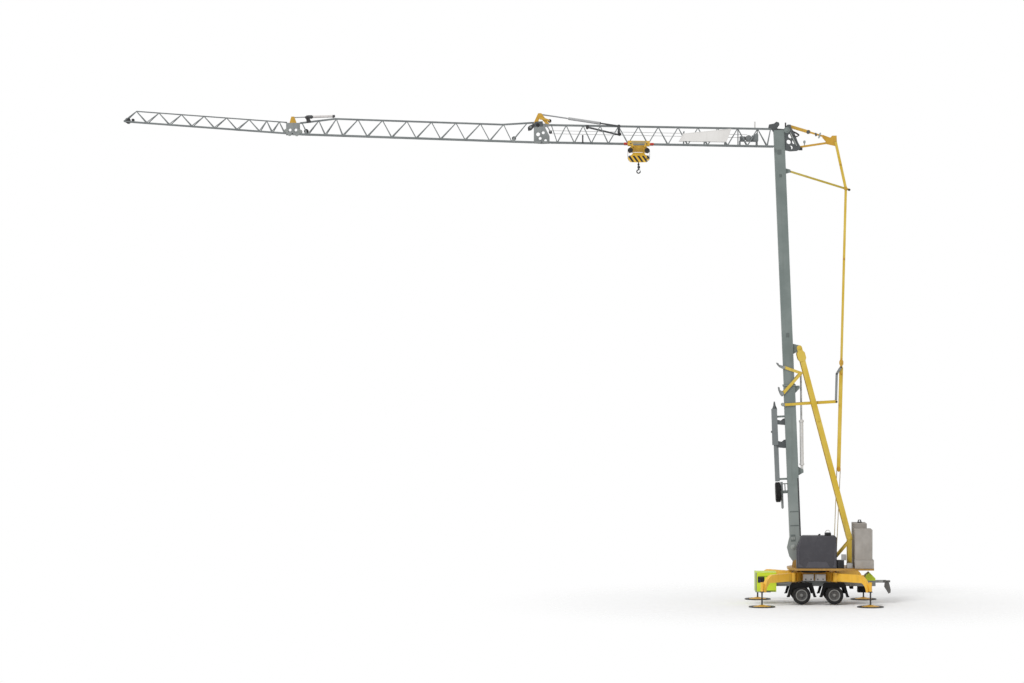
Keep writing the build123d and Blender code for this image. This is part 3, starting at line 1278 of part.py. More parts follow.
def hook():
    top = BLOCK_BOTTOM_Z + 90
    shank = rod((hang_x, 0, HOOK_Z + HOOK_R), (hang_x, 0, top + 20), SHANK_R)
    nut = rod((hang_x, 0, top + RUN), (hang_x, 0, top + 40), 42)
    collar = rod((hang_x, 0, BLOCK_BOTTOM_Z - 120), (hang_x, 0, BLOCK_BOTTOM_Z - 60), 44)
    plane = Plane(origin=(hang_x, 0, HOOK_Z), x_dir=(1, 0, 0), z_dir=(0, -1, 0))
    path = plane * CenterArc((0, 0), HOOK_R, 90, 270)
    section = Plane(origin=(hang_x, 0, HOOK_Z + HOOK_R), z_dir=(1, 0, 0)) * Circle(HOOK_WIRE_R)
    bowl = sweep(section, path)
    ball = Pos(hang_x, 0, HOOK_Z + HOOK_R) * Sphere(HOOK_WIRE_R + 2)
    nose = Pos(hang_x + HOOK_R, 0, HOOK_Z) * Sphere(HOOK_WIRE_R)
    return fused([shank, nut, collar, bowl, ball, nose])


def main():
    os.makedirs("parts", exist_ok=True)
    corners = {"rear_near": (-1, -1), "rear_far": (-1, 1), "front_near": (1, -1), "front_far": (1, 1)}
    nodes = {}
    one_arm = arm()
    one_jack = jack()
    for name, (sx, sy) in corners.items():
        turn = sy * (arm_angle if sx > 0 else 180 - arm_angle)
        corner = Pos(sx * ARM_PIVOT_X, sy * ARM_PIVOT_Y, 0)
        nodes["outrigger_arm_" + name] = corner * Rot(0, 0, turn) * one_arm
        nodes["jack_" + name] = Pos(sx * PAD_SPREAD / 2, sy * PAD_SPREAD / 2, 0) * one_jack
        x = WHEEL_FRONT_X if sx > 0 else WHEEL_REAR_X
        nodes["wheel_" + name] = wheel(x, sy * WHEEL_TRACK / 2)
    nodes["chassis_frame"] = chassis_frame()
    nodes["chassis_rails"] = chassis_rails() - nodes["chassis_frame"]
    nodes["axles"] = axles()
    nodes["mudguards"] = mudguards()
    nodes["tool_boxes"] = tool_boxes()
    nodes["drawbar"] = drawbar()
    nodes["hi_vis_panels"] = hi_vis_panels()
    nodes["underfloor_boxes"] = underfloor_boxes()
    nodes["slew_ring"] = slew_ring()
    nodes["platform"] = platform()
    nodes["housing_near"] = housing(HOUSING_TOP, -DECK_HALF, -HOUSING_INNER)
    nodes["housing_far"] = housing(HOUSING_FAR_TOP, HOUSING_INNER, DECK_HALF)
    nodes["drive_units"] = drive_units()
    nodes["ballast_base"], nodes["ballast_near"], nodes["ballast_far"] = ballast()
    nodes["lifting_ring"] = lifting_ring()
    nodes["mast_lower"] = mast_lower()
    nodes["mast_upper"] = mast_upper()
    nodes["stowed_towbar"] = stowed_towbar()
    nodes["spare_wheel"] = spare_wheel()
    nodes["strut"] = strut()
    nodes["strut_support"] = strut_support()
    nodes["erecting_cylinder"] = erecting_cylinder()
    nodes["erecting_rod"] = erecting_rod()
    nodes["knee_arms"] = knee_arms()
    nodes["guide_arm"] = guide_arm()
    nodes["guide_link"] = guide_link()
    nodes["tie_ropes"] = tie_ropes()
    nodes["tie_lower"] = tie_lower()
    nodes["tie_upper"] = tie_upper()
    nodes["guide_strut"] = guide_strut()
    nodes["jib_root"] = jib_root()
    nodes["jib_mid"] = jib_mid()
    nodes["jib_tip"] = jib_tip()
    nodes["fold_plates"] = fold_plates()
    nodes["fold_levers"] = fold_levers()
    first, second = fold_cylinders()
    nodes["fold_cylinders"] = Compound(children=[first - nodes["jib_root"], second - nodes["jib_mid"]])
    foot = jib_foot_frame()
    nodes["jib_foot_frame"] = foot - nodes["jib_root"]
    nodes["rear_lever"] = rear_lever() - foot
    nodes["sign_panels"] = Compound(children=[one - nodes["jib_root"] for one in sign_panels()])
    nodes["trolley_winch"] = trolley_winch()
    nodes["trolley"] = trolley()
    nodes["hoist_falls"] = hoist_falls()
    nodes["hook_block"] = hook_block()
    nodes["hook"] = hook()
    for name, shape in nodes.items():
        export_step(shape, os.path.join("parts", name + ".step"))


main()
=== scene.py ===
import math

import bpy
from mathutils import Matrix, Vector


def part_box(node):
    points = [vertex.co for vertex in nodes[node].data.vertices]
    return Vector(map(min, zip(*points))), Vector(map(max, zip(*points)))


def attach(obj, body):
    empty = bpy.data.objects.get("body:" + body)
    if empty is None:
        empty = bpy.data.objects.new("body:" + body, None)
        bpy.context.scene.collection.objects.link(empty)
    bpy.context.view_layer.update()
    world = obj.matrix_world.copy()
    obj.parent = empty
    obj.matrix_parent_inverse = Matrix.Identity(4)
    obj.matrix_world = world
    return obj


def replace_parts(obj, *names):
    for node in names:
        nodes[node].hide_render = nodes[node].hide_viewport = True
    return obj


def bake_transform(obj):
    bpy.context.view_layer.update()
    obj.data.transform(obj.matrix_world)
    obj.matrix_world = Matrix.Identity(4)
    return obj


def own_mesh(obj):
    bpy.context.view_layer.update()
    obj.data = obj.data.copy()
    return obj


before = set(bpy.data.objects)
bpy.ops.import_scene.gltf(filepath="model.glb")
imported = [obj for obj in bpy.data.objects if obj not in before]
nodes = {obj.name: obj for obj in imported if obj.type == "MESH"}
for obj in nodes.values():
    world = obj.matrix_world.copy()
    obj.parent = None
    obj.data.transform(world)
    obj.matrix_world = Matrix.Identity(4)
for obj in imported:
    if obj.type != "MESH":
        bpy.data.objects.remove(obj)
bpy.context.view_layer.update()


# Outrigger arms: four welded box arms that arch from the chassis corner down to a jack sleeve.
# Thick orange-yellow machine paint over plate, faded in broad patches, with road dirt low down.
# Each sleeve ends in a turned collar.
def shade(colour):
    """A colour read as 0 to 255 on a screen, as the linear values that a shader takes."""
    return tuple((v / 255) ** 2.2 for v in colour) + (1.0,)


class Wire:
    """One socket of a material's node tree, with the sums that the finishes need."""

    def __init__(self, tree, socket=None):
        self.tree = tree
        self.socket = socket

    def make(self, kind, settings=None, sockets=None, out=0):
        node = self.tree.nodes.new(kind)
        for key, value in (settings or {}).items():
            setattr(node, key, value)
        for key, value in (sockets or {}).items():
            if isinstance(value, Wire):
                self.tree.links.new(value.socket, node.inputs[key])
            else:
                node.inputs[key].default_value = value
        return Wire(self.tree, node.outputs[out])

    def sum(self, operation, first, second):
        return self.make("ShaderNodeMath", {"operation": operation}, {0: first, 1: second})

    def __add__(self, other):
        return self.sum("ADD", self, other)

    def __radd__(self, other):
        return self.sum("ADD", other, self)

    def __sub__(self, other):
        return self.sum("SUBTRACT", self, other)

    def __rsub__(self, other):
        return self.sum("SUBTRACT", other, self)

    def __mul__(self, other):
        return self.sum("MULTIPLY", self, other)

    def __rmul__(self, other):
        return self.sum("MULTIPLY", other, self)

    def __gt__(self, other):
        return self.sum("GREATER_THAN", self, other)

    def __lt__(self, other):
        return self.sum("LESS_THAN", self, other)

    def step(self, low, high):
        """0 below low and 1 above high, with a smooth run between."""
        return self.make(
            "ShaderNodeMapRange", {"interpolation_type": "SMOOTHSTEP"}, {0: self, 1: low, 2: high}
        )

    def within(self, low, high):
        """1 between the two values and 0 outside them."""
        return (self > low) * (self < high)

    def noise(self, scale, detail=3.0, rough=0.55):
        return self.make(
            "ShaderNodeTexNoise", {}, {"Vector": self, "Scale": scale, "Detail": detail, "Roughness": rough}
        )

    def stretched(self, x, y, z):
        return self.make("ShaderNodeMapping", {}, {"Vector": self, "Scale": (x, y, z)})

    def wave(self, direction, scale, distortion=0.2):
        sockets = {"Vector": self, "Scale": scale, "Distortion": distortion}
        return self.make("ShaderNodeTexWave", {"bands_direction": direction}, sockets, "Fac")

    def tint(self, first, second):
        """The first colour where this value is 0 and the second where it is 1."""
        sockets = {0: self, 6: shade(first), 7: shade(second)}
        return self.make("ShaderNodeMix", {"data_type": "RGBA"}, sockets, 2)

    def blend(self, mask, other):
        """This colour where the mask is 0 and the other where it is 1."""
        return self.make("ShaderNodeMix", {"data_type": "RGBA"}, {0: mask, 6: self, 7: shade(other)}, 2)

    def split(self, axis):
        return self.make("ShaderNodeSeparateXYZ", {}, {0: self}, axis)


def finish_of(name, metallic=0.0, specular=0.5):
    """An empty finish, and the object's own coordinates in it."""
    material = bpy.data.materials.new(name)
    material.use_nodes = True
    shader = material.node_tree.nodes["Principled BSDF"]
    shader.inputs["Metallic"].default_value = metallic
    shader.inputs["Specular IOR Level"].default_value = specular
    return material, Wire(material.node_tree).make("ShaderNodeTexCoord", {}, {}, "Object")


def lay_on(material, colour, roughness, height, bump, distance):
    """Joins colour, roughness and height to a finish."""
    tree = material.node_tree
    normal = height.make("ShaderNodeBump", {}, {"Strength": bump, "Distance": distance, "Height": height})
    for socket, value in (("Base Color", colour), ("Roughness", roughness), ("Normal", normal)):
        tree.links.new(value.socket, tree.nodes["Principled BSDF"].inputs[socket])
    return material


SOIL = (66, 60, 54)


def machine_paint(name, colour, faded, rough=0.42, soiling=0.35, floor=0.0, patch=None):
    """Sprayed paint: fades in broad patches, runs of grime down the faces and a fine orange peel.

    A patch is a function of the place that gives a mask, and the colour that lies there.
    """
    material, place = finish_of(name)
    broad = place.noise(0.8, 5.0, 0.6)
    peel = place.noise(55.0, 2.0)
    runs = place.stretched(5.0, 5.0, 0.35).noise(1.0, 4.0, 0.62)
    spots = place.noise(9.0, 4.0, 0.7)
    paint = broad.step(0.35, 0.68).tint(colour, faded)
    if patch:
        paint = paint.blend(patch[0](place), patch[1])
    grime = (runs.step(0.5, 0.78) * 0.75 + spots.step(0.62, 0.8) * 0.5) * soiling
    if floor:
        grime = grime + (1.0 - place.split("Z").step(0.15, floor)) * spots.step(0.3, 0.7) * 0.5
    gloss = rough + (spots - 0.5) * 0.2 + grime * 0.25
    return lay_on(material, paint.blend(grime, SOIL), gloss, peel + broad * 0.5, 0.12, 0.003)


def coat(material, *names):
    for name in names:
        nodes[name].data.materials.clear()
        nodes[name].data.materials.append(material)


def opened():
    """Sets a new piece's place in its mesh, and opens it in edit mode with all of it selected."""
    bpy.ops.object.transform_apply(location=True, rotation=True, scale=True)
    bpy.ops.object.mode_set(mode="EDIT")
    bpy.ops.mesh.select_all(action="SELECT")


def closed_up():
    """Turns the faces of the object in edit mode outwards, and goes back to object mode."""
    bpy.ops.mesh.select_all(action="SELECT")
    bpy.ops.mesh.remove_doubles(threshold=0.00001)
    bpy.ops.mesh.normals_make_consistent(inside=False)
    bpy.ops.object.mode_set(mode="OBJECT")
    bpy.ops.object.shade_smooth_by_angle(angle=math.radians(32))
    return bpy.context.object


def turned(start, axis, profile, steps=24, ring=False):
    """A round piece: a disc drawn out along an axis, its profile a list of places along it and radii.

    A ring has no end discs, and a wall joins its two ends instead.
    """
    start = Vector(start)
    axis = Vector(axis).normalized()
    bpy.ops.object.select_all(action="DESELECT")
    bpy.ops.mesh.primitive_circle_add(
        vertices=steps,
        radius=profile[0][1],
        fill_type="NGON",
        location=start + axis * profile[0][0],
        rotation=axis.to_track_quat("Z", "Y").to_euler(),
    )
    opened()
    bpy.ops.mesh.select_mode(type="FACE")
    for (a, r0), (b, r1) in zip(profile, profile[1:]):
        bpy.ops.mesh.extrude_region_move(TRANSFORM_OT_translate={"value": axis * (b - a)})
        grow = r1 / r0
        bpy.ops.transform.resize(value=(grow, grow, grow), center_override=start + axis * b)
    if ring:
        bpy.ops.object.mode_set(mode="OBJECT")
        for face in bpy.context.object.data.polygons:
            face.select = len(face.vertices) == steps
        bpy.ops.object.mode_set(mode="EDIT")
        bpy.ops.mesh.delete(type="ONLY_FACE")
        bpy.ops.mesh.select_mode(type="EDGE")
        bpy.ops.mesh.select_all(action="DESELECT")
        bpy.ops.mesh.select_non_manifold()
        bpy.ops.mesh.bridge_edge_loops()
    return closed_up()


def joined(pieces):
    bpy.ops.object.select_all(action="DESELECT")
    for piece in pieces:
        piece.select_set(True)
    bpy.context.view_layer.objects.active = pieces[0]
    bpy.ops.object.join()
    return pieces[0]


def fit(pieces, name, body, material):
    """Joins a list of pieces if there is one, names and paints the result and fastens it to a body."""
    piece = joined(pieces) if isinstance(pieces, list) else pieces
    piece.name = name
    piece.data.materials.clear()
    piece.data.materials.append(material)
    if body:
        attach(piece, body)
    return piece


UPRIGHT = (0, 0, 1)
CORNERS = {"rear_near": (-1, -1), "rear_far": (-1, 1), "front_near": (1, -1), "front_far": (1, 1)}
JACK_PLACE = 2.22
SLEEVE_R, SLEEVE_FOOT = 0.0625, 0.6
COLLAR = [(0, SLEEVE_R), (0, 0.08), (0.03, 0.084), (0.045, 0.078), (0.045, SLEEVE_R)]
outrigger_paint = machine_paint("outrigger_paint", (224, 168, 44), (234, 184, 70), soiling=0.28, floor=1.0)
dark_paint = machine_paint("dark_paint", (48, 48, 50), (62, 61, 61), rough=0.5, soiling=0.3)
for c, (sx, sy) in CORNERS.items():
    coat(outrigger_paint, "outrigger_arm_" + c)
    collar = turned((sx * JACK_PLACE, sy * JACK_PLACE, SLEEVE_FOOT), UPRIGHT, COLLAR, 32, True)
    fit(collar, "sleeve_collar_" + c, "arm_" + c, dark_paint)


# Screw jacks: a turned steel screw through the sleeve and a pressed round pad on the ground.
# The thread is greased and darkened along its grooves as painted shade; the pad is a dark disc with a painted
# cone bolted on it.
CONE_R = 0.37


def jack_steel():
    material, place = finish_of("jack_steel", 0.35)
    height = place.split("Z")
    thread = place.wave("Z", 22.0)
    scuff = place.noise(18.0, 5.0, 0.7)
    screw = height.step(0.1, 0.14)
    x, y = [place.sum("MAXIMUM", place.split(a), 0.0 - place.split(a)) - JACK_PLACE for a in "XY"]
    cone = (x * x + y * y < CONE_R * CONE_R) * height.within(0.025, 0.1)
    metal = scuff.step(0.35, 0.7).tint((48, 47, 46), (86, 82, 76))
    painted = metal.blend(cone * (1.0 - scuff.step(0.62, 0.75) * 0.6), (206, 158, 62))
    # Grease on the screw, banded dark along the thread's grooves as painted shade.
    grease_and_groove_shade = painted.blend(screw * thread * 0.6, (26, 24, 22))
    gloss = 0.62 - screw * 0.2 - scuff * 0.15
    return lay_on(material, grease_and_groove_shade, gloss, scuff * 0.4 + screw * thread, 0.35, 0.006)


def copied(pattern, places):
    """Copies of a pattern made at the origin along +Z, each with its own mesh, joined as one piece.

    A place is a point, the direction of the copy and its size; the pattern itself goes.
    """
    out = []
    for point, axis, size in places:
        twin = pattern.copy()
        twin.data = pattern.data.copy()
        bpy.context.collection.objects.link(twin)
        turn = Vector(axis).to_track_quat("Z", "Y").to_matrix().to_4x4()
        twin.data.transform(Matrix.Translation(Vector(point)) @ turn @ Matrix.Scale(size, 4))
        out.append(twin)
    bpy.data.objects.remove(pattern)
    return joined(out)


def bolt_heads(places):
    """Hexagon heads on washers; a place is a point, a direction and a size across the head."""
    head = turned((0, 0, 0), UPRIGHT, [(0, 0.5), (0.32, 0.5), (0.4, 0.43)], 6)
    washer = turned((0, 0, 0), UPRIGHT, [(-0.02, 0.68), (0.07, 0.68), (0.1, 0.64)], 16)
    return copied(joined([head, washer]), places)


def bolt_circle(middle, reach, count, size, first=0.0):
    """A circle of bolts that point up, the first of them at an angle in degrees."""
    turns = [math.radians(first + 360 / count * i) for i in range(count)]
    spots = [Vector(middle) + Vector((reach * math.cos(a), reach * math.sin(a), 0)) for a in turns]
    return bolt_heads([(spot, UPRIGHT, size) for spot in spots])


PAD_TOP = 0.034
PAD_RIM = [(0, 0.51), (0.006, 0.515), (0.008, 0.524), (0.006, 0.534), (0, 0.54)]
pad_steel = jack_steel()
for c, (sx, sy) in CORNERS.items():
    coat(pad_steel, "jack_" + c)
    x, y = sx * JACK_PLACE, sy * JACK_PLACE
    rim = turned((x, y, PAD_TOP), UPRIGHT, PAD_RIM, 64, True)
    fit(rim, "pad_rim_" + c, "jack_" + c, dark_paint)
    bolts = bolt_circle((x, y, PAD_TOP + 0.001), 0.42, 8, 0.03, 22)
    fit(bolts, "pad_bolts_" + c, "jack_" + c, dark_paint)


# Chassis: a welded box with lugs and pins at its corners, and two long grey rails with cross members.
# Box in the same orange-yellow paint as the arms, rails in grey paint; the corner pins have turned heads.
# The slewing ring on top of the box is a toothed bearing ring in dark steel.
def jaw_part(place):
    return place.split("X").step(2.86, 2.9)


jaw = (jaw_part, (94, 93, 91))
bar_paint = machine_paint("bar_paint", (146, 149, 150), (162, 164, 164), 0.5, 0.5, patch=jaw)
chassis_paint = machine_paint("chassis_paint", (212, 154, 42), (224, 172, 64), soiling=0.4, floor=1.2)
rail_paint = machine_paint("rail_paint", (120, 124, 124), (142, 146, 145), 0.5, 0.5, floor=0.9)
coat(chassis_paint, "chassis_frame")
coat(rail_paint, "chassis_rails")
coat(bar_paint, "drawbar")
coat(dark_paint, "axles", "slew_ring")

SUNK = 0.001  # how far a head is let into its face
PIN_X, PIN_Y, PIN_Z = 0.9, 0.76, 1.33
PIN_HEAD = [(0, 0.062), (0.014, 0.062), (0.016, 0.046), (0.034, 0.044), (0.038, 0.038)]
heads = []
for sx, sy in CORNERS.values():
    heads.append(turned((sx * PIN_X, sy * PIN_Y, PIN_Z - SUNK), UPRIGHT, PIN_HEAD))
fit(heads, "arm_pin_heads", "chassis", dark_paint)

RAIL_SIDE = 0.57
rows = []
for i in range(9):
    for x in (1.45 + 0.11 * i, -1.12 - 0.055 * i):
        for z in (0.8, 0.91):
            rows += [((x, sy * (RAIL_SIDE - SUNK), z), (0, sy, 0), 0.028) for sy in (-1, 1)]
fit(bolt_heads(rows), "rail_bolts", "chassis", dark_paint)


def plate(outline, y0, y1, edge=0.004):
    """A flat plate cut to an outline of X and Z, drawn out in Y, with broken edges."""
    bpy.ops.object.select_all(action="DESELECT")
    bpy.ops.mesh.primitive_circle_add(vertices=len(outline), radius=1.0, fill_type="NGON")
    for corner, (x, z) in zip(bpy.context.object.data.vertices, outline):
        corner.co = (x, y0, z)
    opened()
    bpy.ops.mesh.extrude_region_move(TRANSFORM_OT_translate={"value": (0, y1 - y0, 0)})
    if edge:
        bpy.ops.mesh.select_all(action="SELECT")
        bpy.ops.mesh.bevel(offset=edge, segments=1, affect="EDGES")
    return closed_up()


RING_R, RING_Z, TEETH = 0.52, 1.345, 90
tooth = plate([(-0.012, -0.004), (-0.006, 0.016), (0.006, 0.016), (0.012, -0.004)], -0.028, 0.028, 0.0)
rim = []
for i in range(TEETH):
    angle = 2 * math.pi * i / TEETH
    out = Vector((math.cos(angle), math.sin(angle), 0))
    rim.append((out * RING_R + Vector((0, 0, RING_Z)), out, 1.0))
fit(copied(tooth, rim), "slew_ring_teeth", "chassis", dark_paint)


# Road wheels: tubeless tyres on pressed steel discs, held by six nuts on each hub.
# Black rubber with three tread grooves, and a dished grey disc with a dusty hub.
def tyre_rubber():
    material, place = finish_of("tyre_rubber", 0.0, 0.35)
    dust = place.noise(12.0, 5.0, 0.65)
    grain = place.noise(120.0, 2.0)
    black = (dust.step(0.45, 0.8) * 0.5).tint((25, 25, 26), (74, 70, 64))
    return lay_on(material, black, 0.85 - dust * 0.15, grain, 0.2, 0.002)


rubber = tyre_rubber()
disc_paint = machine_paint("disc_paint", (66, 65, 64), (84, 82, 80), rough=0.5, soiling=0.5)
rim_paint = machine_paint("rim_paint", (112, 112, 110), (130, 129, 126), rough=0.45, soiling=0.5)
WHEEL_R, WHEEL_LIFT, WHEEL_Y = 0.375, 0.03, 1.0
WHEEL_X = {"rear": -0.54, "front": 0.81}
SHOULDER = [
    (-0.106, 0.236), (-0.110, 0.262), (-0.110, 0.318), (-0.102, 0.348), (-0.086, 0.367), (-0.066, 0.374),
    (-0.046, 0.375), (-0.044, 0.364), (-0.034, 0.364), (-0.032, 0.375), (-0.007, 0.375), (-0.005, 0.364),
]
TREAD = SHOULDER + [(-a, r) for a, r in reversed(SHOULDER)]
DISH = [
    (-0.04, 0.03), (-0.04, 0.06), (-0.05, 0.09), (-0.04, 0.1), (-0.034, 0.15), (-0.044, 0.18), (-0.05, 0.2),
    (-0.09, 0.212), (-0.09, 0.24), (0.104, 0.24), (0.110, 0.236), (0.100, 0.222), (0.05, 0.2), (0.05, 0.03),
]
EDGE = [
    (-0.08, 0.202), (-0.094, 0.2), (-0.106, 0.208), (-0.112, 0.225), (-0.108, 0.241), (-0.09, 0.241),
    (-0.08, 0.215),
]
HUB = [(-0.036, 0.07), (-0.06, 0.068), (-0.075, 0.06), (-0.092, 0.05), (-0.098, 0.036)]
NUT_CIRCLE, NUT_SEAT = 0.125, 0.036


def road_wheel(names, body, middle, axis, size=1.0, broad=1.0):
    """A tyre, its disc, its rim with the hub, and its nuts; the dished side faces against the axis."""
    rounds = []
    for profile, steps, ring in ((TREAD, 48, True), (DISH, 48, False), (EDGE, 48, True), (HUB, 24, False)):
        rounds.append(turned(middle, axis, [(a * broad, r * size) for a, r in profile], steps, ring))
    across = Vector(axis).normalized()
    first = across.orthogonal().normalized()
    second = across.cross(first)
    nuts = []
    for i in range(6):
        angle = math.radians(60 * i)
        out = first * math.cos(angle) + second * math.sin(angle)
        spot = Vector(middle) - across * NUT_SEAT * broad + out * NUT_CIRCLE * size
        nuts.append((spot, -across, 0.03))
    fit(rounds[1], names[1], body, disc_paint)
    fit(rounds[2:], names[2], body, rim_paint)
    fit(bolt_heads(nuts), names[3], body, dark_paint)
    return fit(rounds[0], names[0], body, rubber)


for c, (sx, sy) in CORNERS.items():
    middle = (WHEEL_X[c.split("_")[0]], sy * WHEEL_Y, WHEEL_R + WHEEL_LIFT)
    names = [part + c for part in ("tyre_", "wheel_disc_", "wheel_rim_", "wheel_nuts_")]
    tyre = road_wheel(names, "wheel_" + c, middle, (0, -sy, 0))
    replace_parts(tyre, "wheel_" + c)


# Mudguards and underfloor boxes: black moulded plastic, folded over the wheels and hung on stays.
# Rubber flaps are clamped to the guards' ends with steel strips.
def moulded_plastic(name, colour, dusty, rough=0.55, gloss=0.4):
    material, place = finish_of(name, 0.0, gloss)
    dust = place.noise(3.0, 5.0, 0.65)
    grain = place.noise(90.0, 2.0)
    skin = (dust.step(0.42, 0.75) * 0.55).tint(colour, dusty)
    return lay_on(material, skin, rough + (dust - 0.5) * 0.25, grain, 0.18, 0.002)


def chest(low, high, edge=0.006):
    """A box between two corners with broken edges."""
    size = [b - a for a, b in zip(low, high)]
    middle = [(a + b) / 2 for a, b in zip(low, high)]
    bpy.ops.object.select_all(action="DESELECT")
    bpy.ops.mesh.primitive_cube_add(size=1.0, location=middle, scale=size)
    opened()
    bpy.ops.mesh.bevel(offset=edge, segments=2, affect="EDGES")
    return closed_up()


def chests(low, high, inner, outer, edge):
    """A box on each side between two corners of X and Z, and between two distances from the middle."""
    spans = [sorted((s * inner, s * outer)) for s in (-1, 1)]
    return [chest((low[0], y0, low[1]), (high[0], y1, high[1]), edge) for y0, y1 in spans]


guard_plastic = moulded_plastic("guard_plastic", (15, 15, 16), (38, 37, 36), gloss=0.15)
coat(guard_plastic, "mudguards", "underfloor_boxes")
GUARD_HALF, GUARD_FOOT = 0.6, 0.33
STRIP = (WHEEL_Y - 0.12, WHEEL_Y + 0.12, 0.004)
strips = []
for x in WHEEL_X.values():
    for s in (-1, 1):
        foot = x + s * GUARD_HALF
        x0, x1 = sorted((foot - s * 0.018, foot + s * 0.012))
        strips += chests((x0, GUARD_FOOT + 0.01), (x1, GUARD_FOOT + 0.05), *STRIP)
fit(strips, "guard_strips", "chassis", dark_paint)

# Tool boxes: pale grey sheet boxes bolted along both sides of the chassis box.
# Each has a pressed door with a hinge rod along its top and two black latches.
pale_paint = machine_paint("pale_paint", (196, 194, 192), (212, 210, 207), rough=0.38, soiling=0.3)
black_fitting = moulded_plastic("black_fitting", (28, 28, 30), (60, 59, 58), 0.4)
coat(pale_paint, "tool_boxes")
BOX_SPANS = ((-0.455, -0.02), (0.04, 0.475))
BOX_SIDE, BOX_LOW, BOX_HIGH = 0.66, 0.975, 1.245
DOOR = (BOX_SIDE - 0.002, BOX_SIDE + 0.012, 0.005)
LATCH = (BOX_SIDE + 0.010, BOX_SIDE + 0.026, 0.005)
doors = []
latches = []
for x0, x1 in BOX_SPANS:
    doors += chests((x0 + 0.018, BOX_LOW + 0.018), (x1 - 0.018, BOX_HIGH - 0.022), *DOOR)
    hinge = [(0, 0.007), (0.004, 0.009), (x1 - x0 - 0.064, 0.009), (x1 - x0 - 0.06, 0.007)]
    for y in (-BOX_SIDE, BOX_SIDE):
        doors.append(turned((x0 + 0.03, y, BOX_HIGH - 0.014), (1, 0, 0), hinge, 12))
    for part in (0.25, 0.75):
        x = x0 + part * (x1 - x0)
        latches += chests((x - 0.018, BOX_LOW + 0.035), (x + 0.018, BOX_LOW + 0.095), *LATCH)
fit(doors, "tool_box_doors", "chassis", pale_paint)
fit(latches, "tool_box_latches", "chassis", black_fitting)

# Fluorescent panels: a hollow rear box and a sloped front cover in bright yellow-green sheet.
# Grey posts and sills edge the rear box; black strips run along it, and on each side a black plate in a
# recess paints the shade inside it, behind a round plug socket.
hi_vis = moulded_plastic("hi_vis", (194, 216, 50), (174, 194, 58), 0.45)
plug_blue = moulded_plastic("plug_blue", (38, 44, 78), (60, 64, 92), 0.4)
coat(hi_vis, "hi_vis_panels")
BOARD_REAR, BOARD_SIDE, BOARD_TOP = -2.39, 0.6, 1.31
RECESS_SHADE_PLATE = (BOARD_SIDE - 0.012, BOARD_SIDE - 0.004, 0.003)
TAPE = (BOARD_SIDE - 0.004, BOARD_SIDE + 0.005, 0.002)
POST = (BOARD_SIDE - 0.02, BOARD_SIDE + 0.012, 0.006)
PLUG = [(0, 0.06), (0.018, 0.06), (0.026, 0.05), (0.026, 0.035), (0.016, 0.03)]


def knobs(x, y, z, profile, steps=24):
    """A turned piece on each side, y from the middle and facing outwards."""
    return [turned((x, s * y, z), (0, s, 0), profile, steps) for s in (-1, 1)]


# A black plate at the back of each recess is painted shade; the strips after it are black.
dark = chests((BOARD_REAR + 0.063, BOARD_TOP - 0.417), (BOARD_REAR + 0.337, BOARD_TOP - 0.173), *RECESS_SHADE_PLATE)
dark += chests((BOARD_REAR + 0.08, BOARD_TOP - 0.16), (BOARD_REAR + 0.8, BOARD_TOP - 0.145), *TAPE)
dark += chests((BOARD_REAR + 0.34, 0.53), (BOARD_REAR + 0.8, 0.565), *TAPE)
plugs = knobs(BOARD_REAR + 0.13, BOARD_SIDE - 0.006, BOARD_TOP - 0.33, PLUG, 20)
posts = chests((BOARD_REAR - 0.034, 0.5), (BOARD_REAR + 0.012, BOARD_TOP + 0.006), *POST)
posts += chests((BOARD_REAR, 0.49), (BOARD_REAR + 0.6, 0.525), *POST)
fit(dark, "board_recess_shade_and_strips", "chassis", black_fitting)
fit(plugs, "plug_sockets", "chassis", plug_blue)
fit(posts, "board_posts", "chassis", rail_paint)

# Slewing platform: a shallow welded tray with the mast bracket, in dull ochre paint darker than the arms,
# partly as painted shade of the housings.
# A ring of bolts holds it down on the slewing bearing.
# The ochre is dull paint, darkened further over the whole tray as painted shade from the housings above the
# deck.
platform_paint_with_shade = machine_paint("platform_paint_with_shade", (160, 120, 52), (178, 138, 70), soiling=0.5)
coat(platform_paint_with_shade, "platform")
DECK_TOP, DECK_HALF, SEAT_R = 1.515, 1.15, 0.36
seat = bolt_circle((0, 0, DECK_TOP - SUNK), SEAT_R, 32, 0.028)
fit(seat, "seat_bolts", "upper", dark_paint)


# Housings: moulded dark grey covers over the winches and controls on both sides of the mast.
# Their edges are rounded, pressed panels stand out on the long side, and the end has louvres.
# A lug, a black box and two bar handles stand on the near cover.
def softened(node, width, segments, name, material):
    """A copy of a CAD piece of the upper works with its edges rounded, in place of that piece."""
    piece = nodes[node].copy()
    piece.data = nodes[node].data.copy()
    bpy.context.collection.objects.link(piece)
    bpy.ops.object.select_all(action="DESELECT")
    piece.select_set(True)
    bpy.context.view_layer.objects.active = piece
    bpy.ops.object.mode_set(mode="EDIT")
    bpy.ops.mesh.select_all(action="SELECT")
    bpy.ops.mesh.remove_doubles(threshold=0.00001)
    bpy.ops.mesh.dissolve_limited(angle_limit=math.radians(1))
    bpy.ops.object.mode_set(mode="OBJECT")
    bevel = piece.modifiers.new("edges", "BEVEL")
    bevel.width = width
    bevel.segments = segments
    bevel.limit_method = "ANGLE"
    bevel.angle_limit = math.radians(30)
    bpy.ops.object.modifier_apply(modifier="edges")
    bpy.ops.object.shade_smooth_by_angle(angle=math.radians(32))
    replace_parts(fit(piece, name, "upper", material), node)


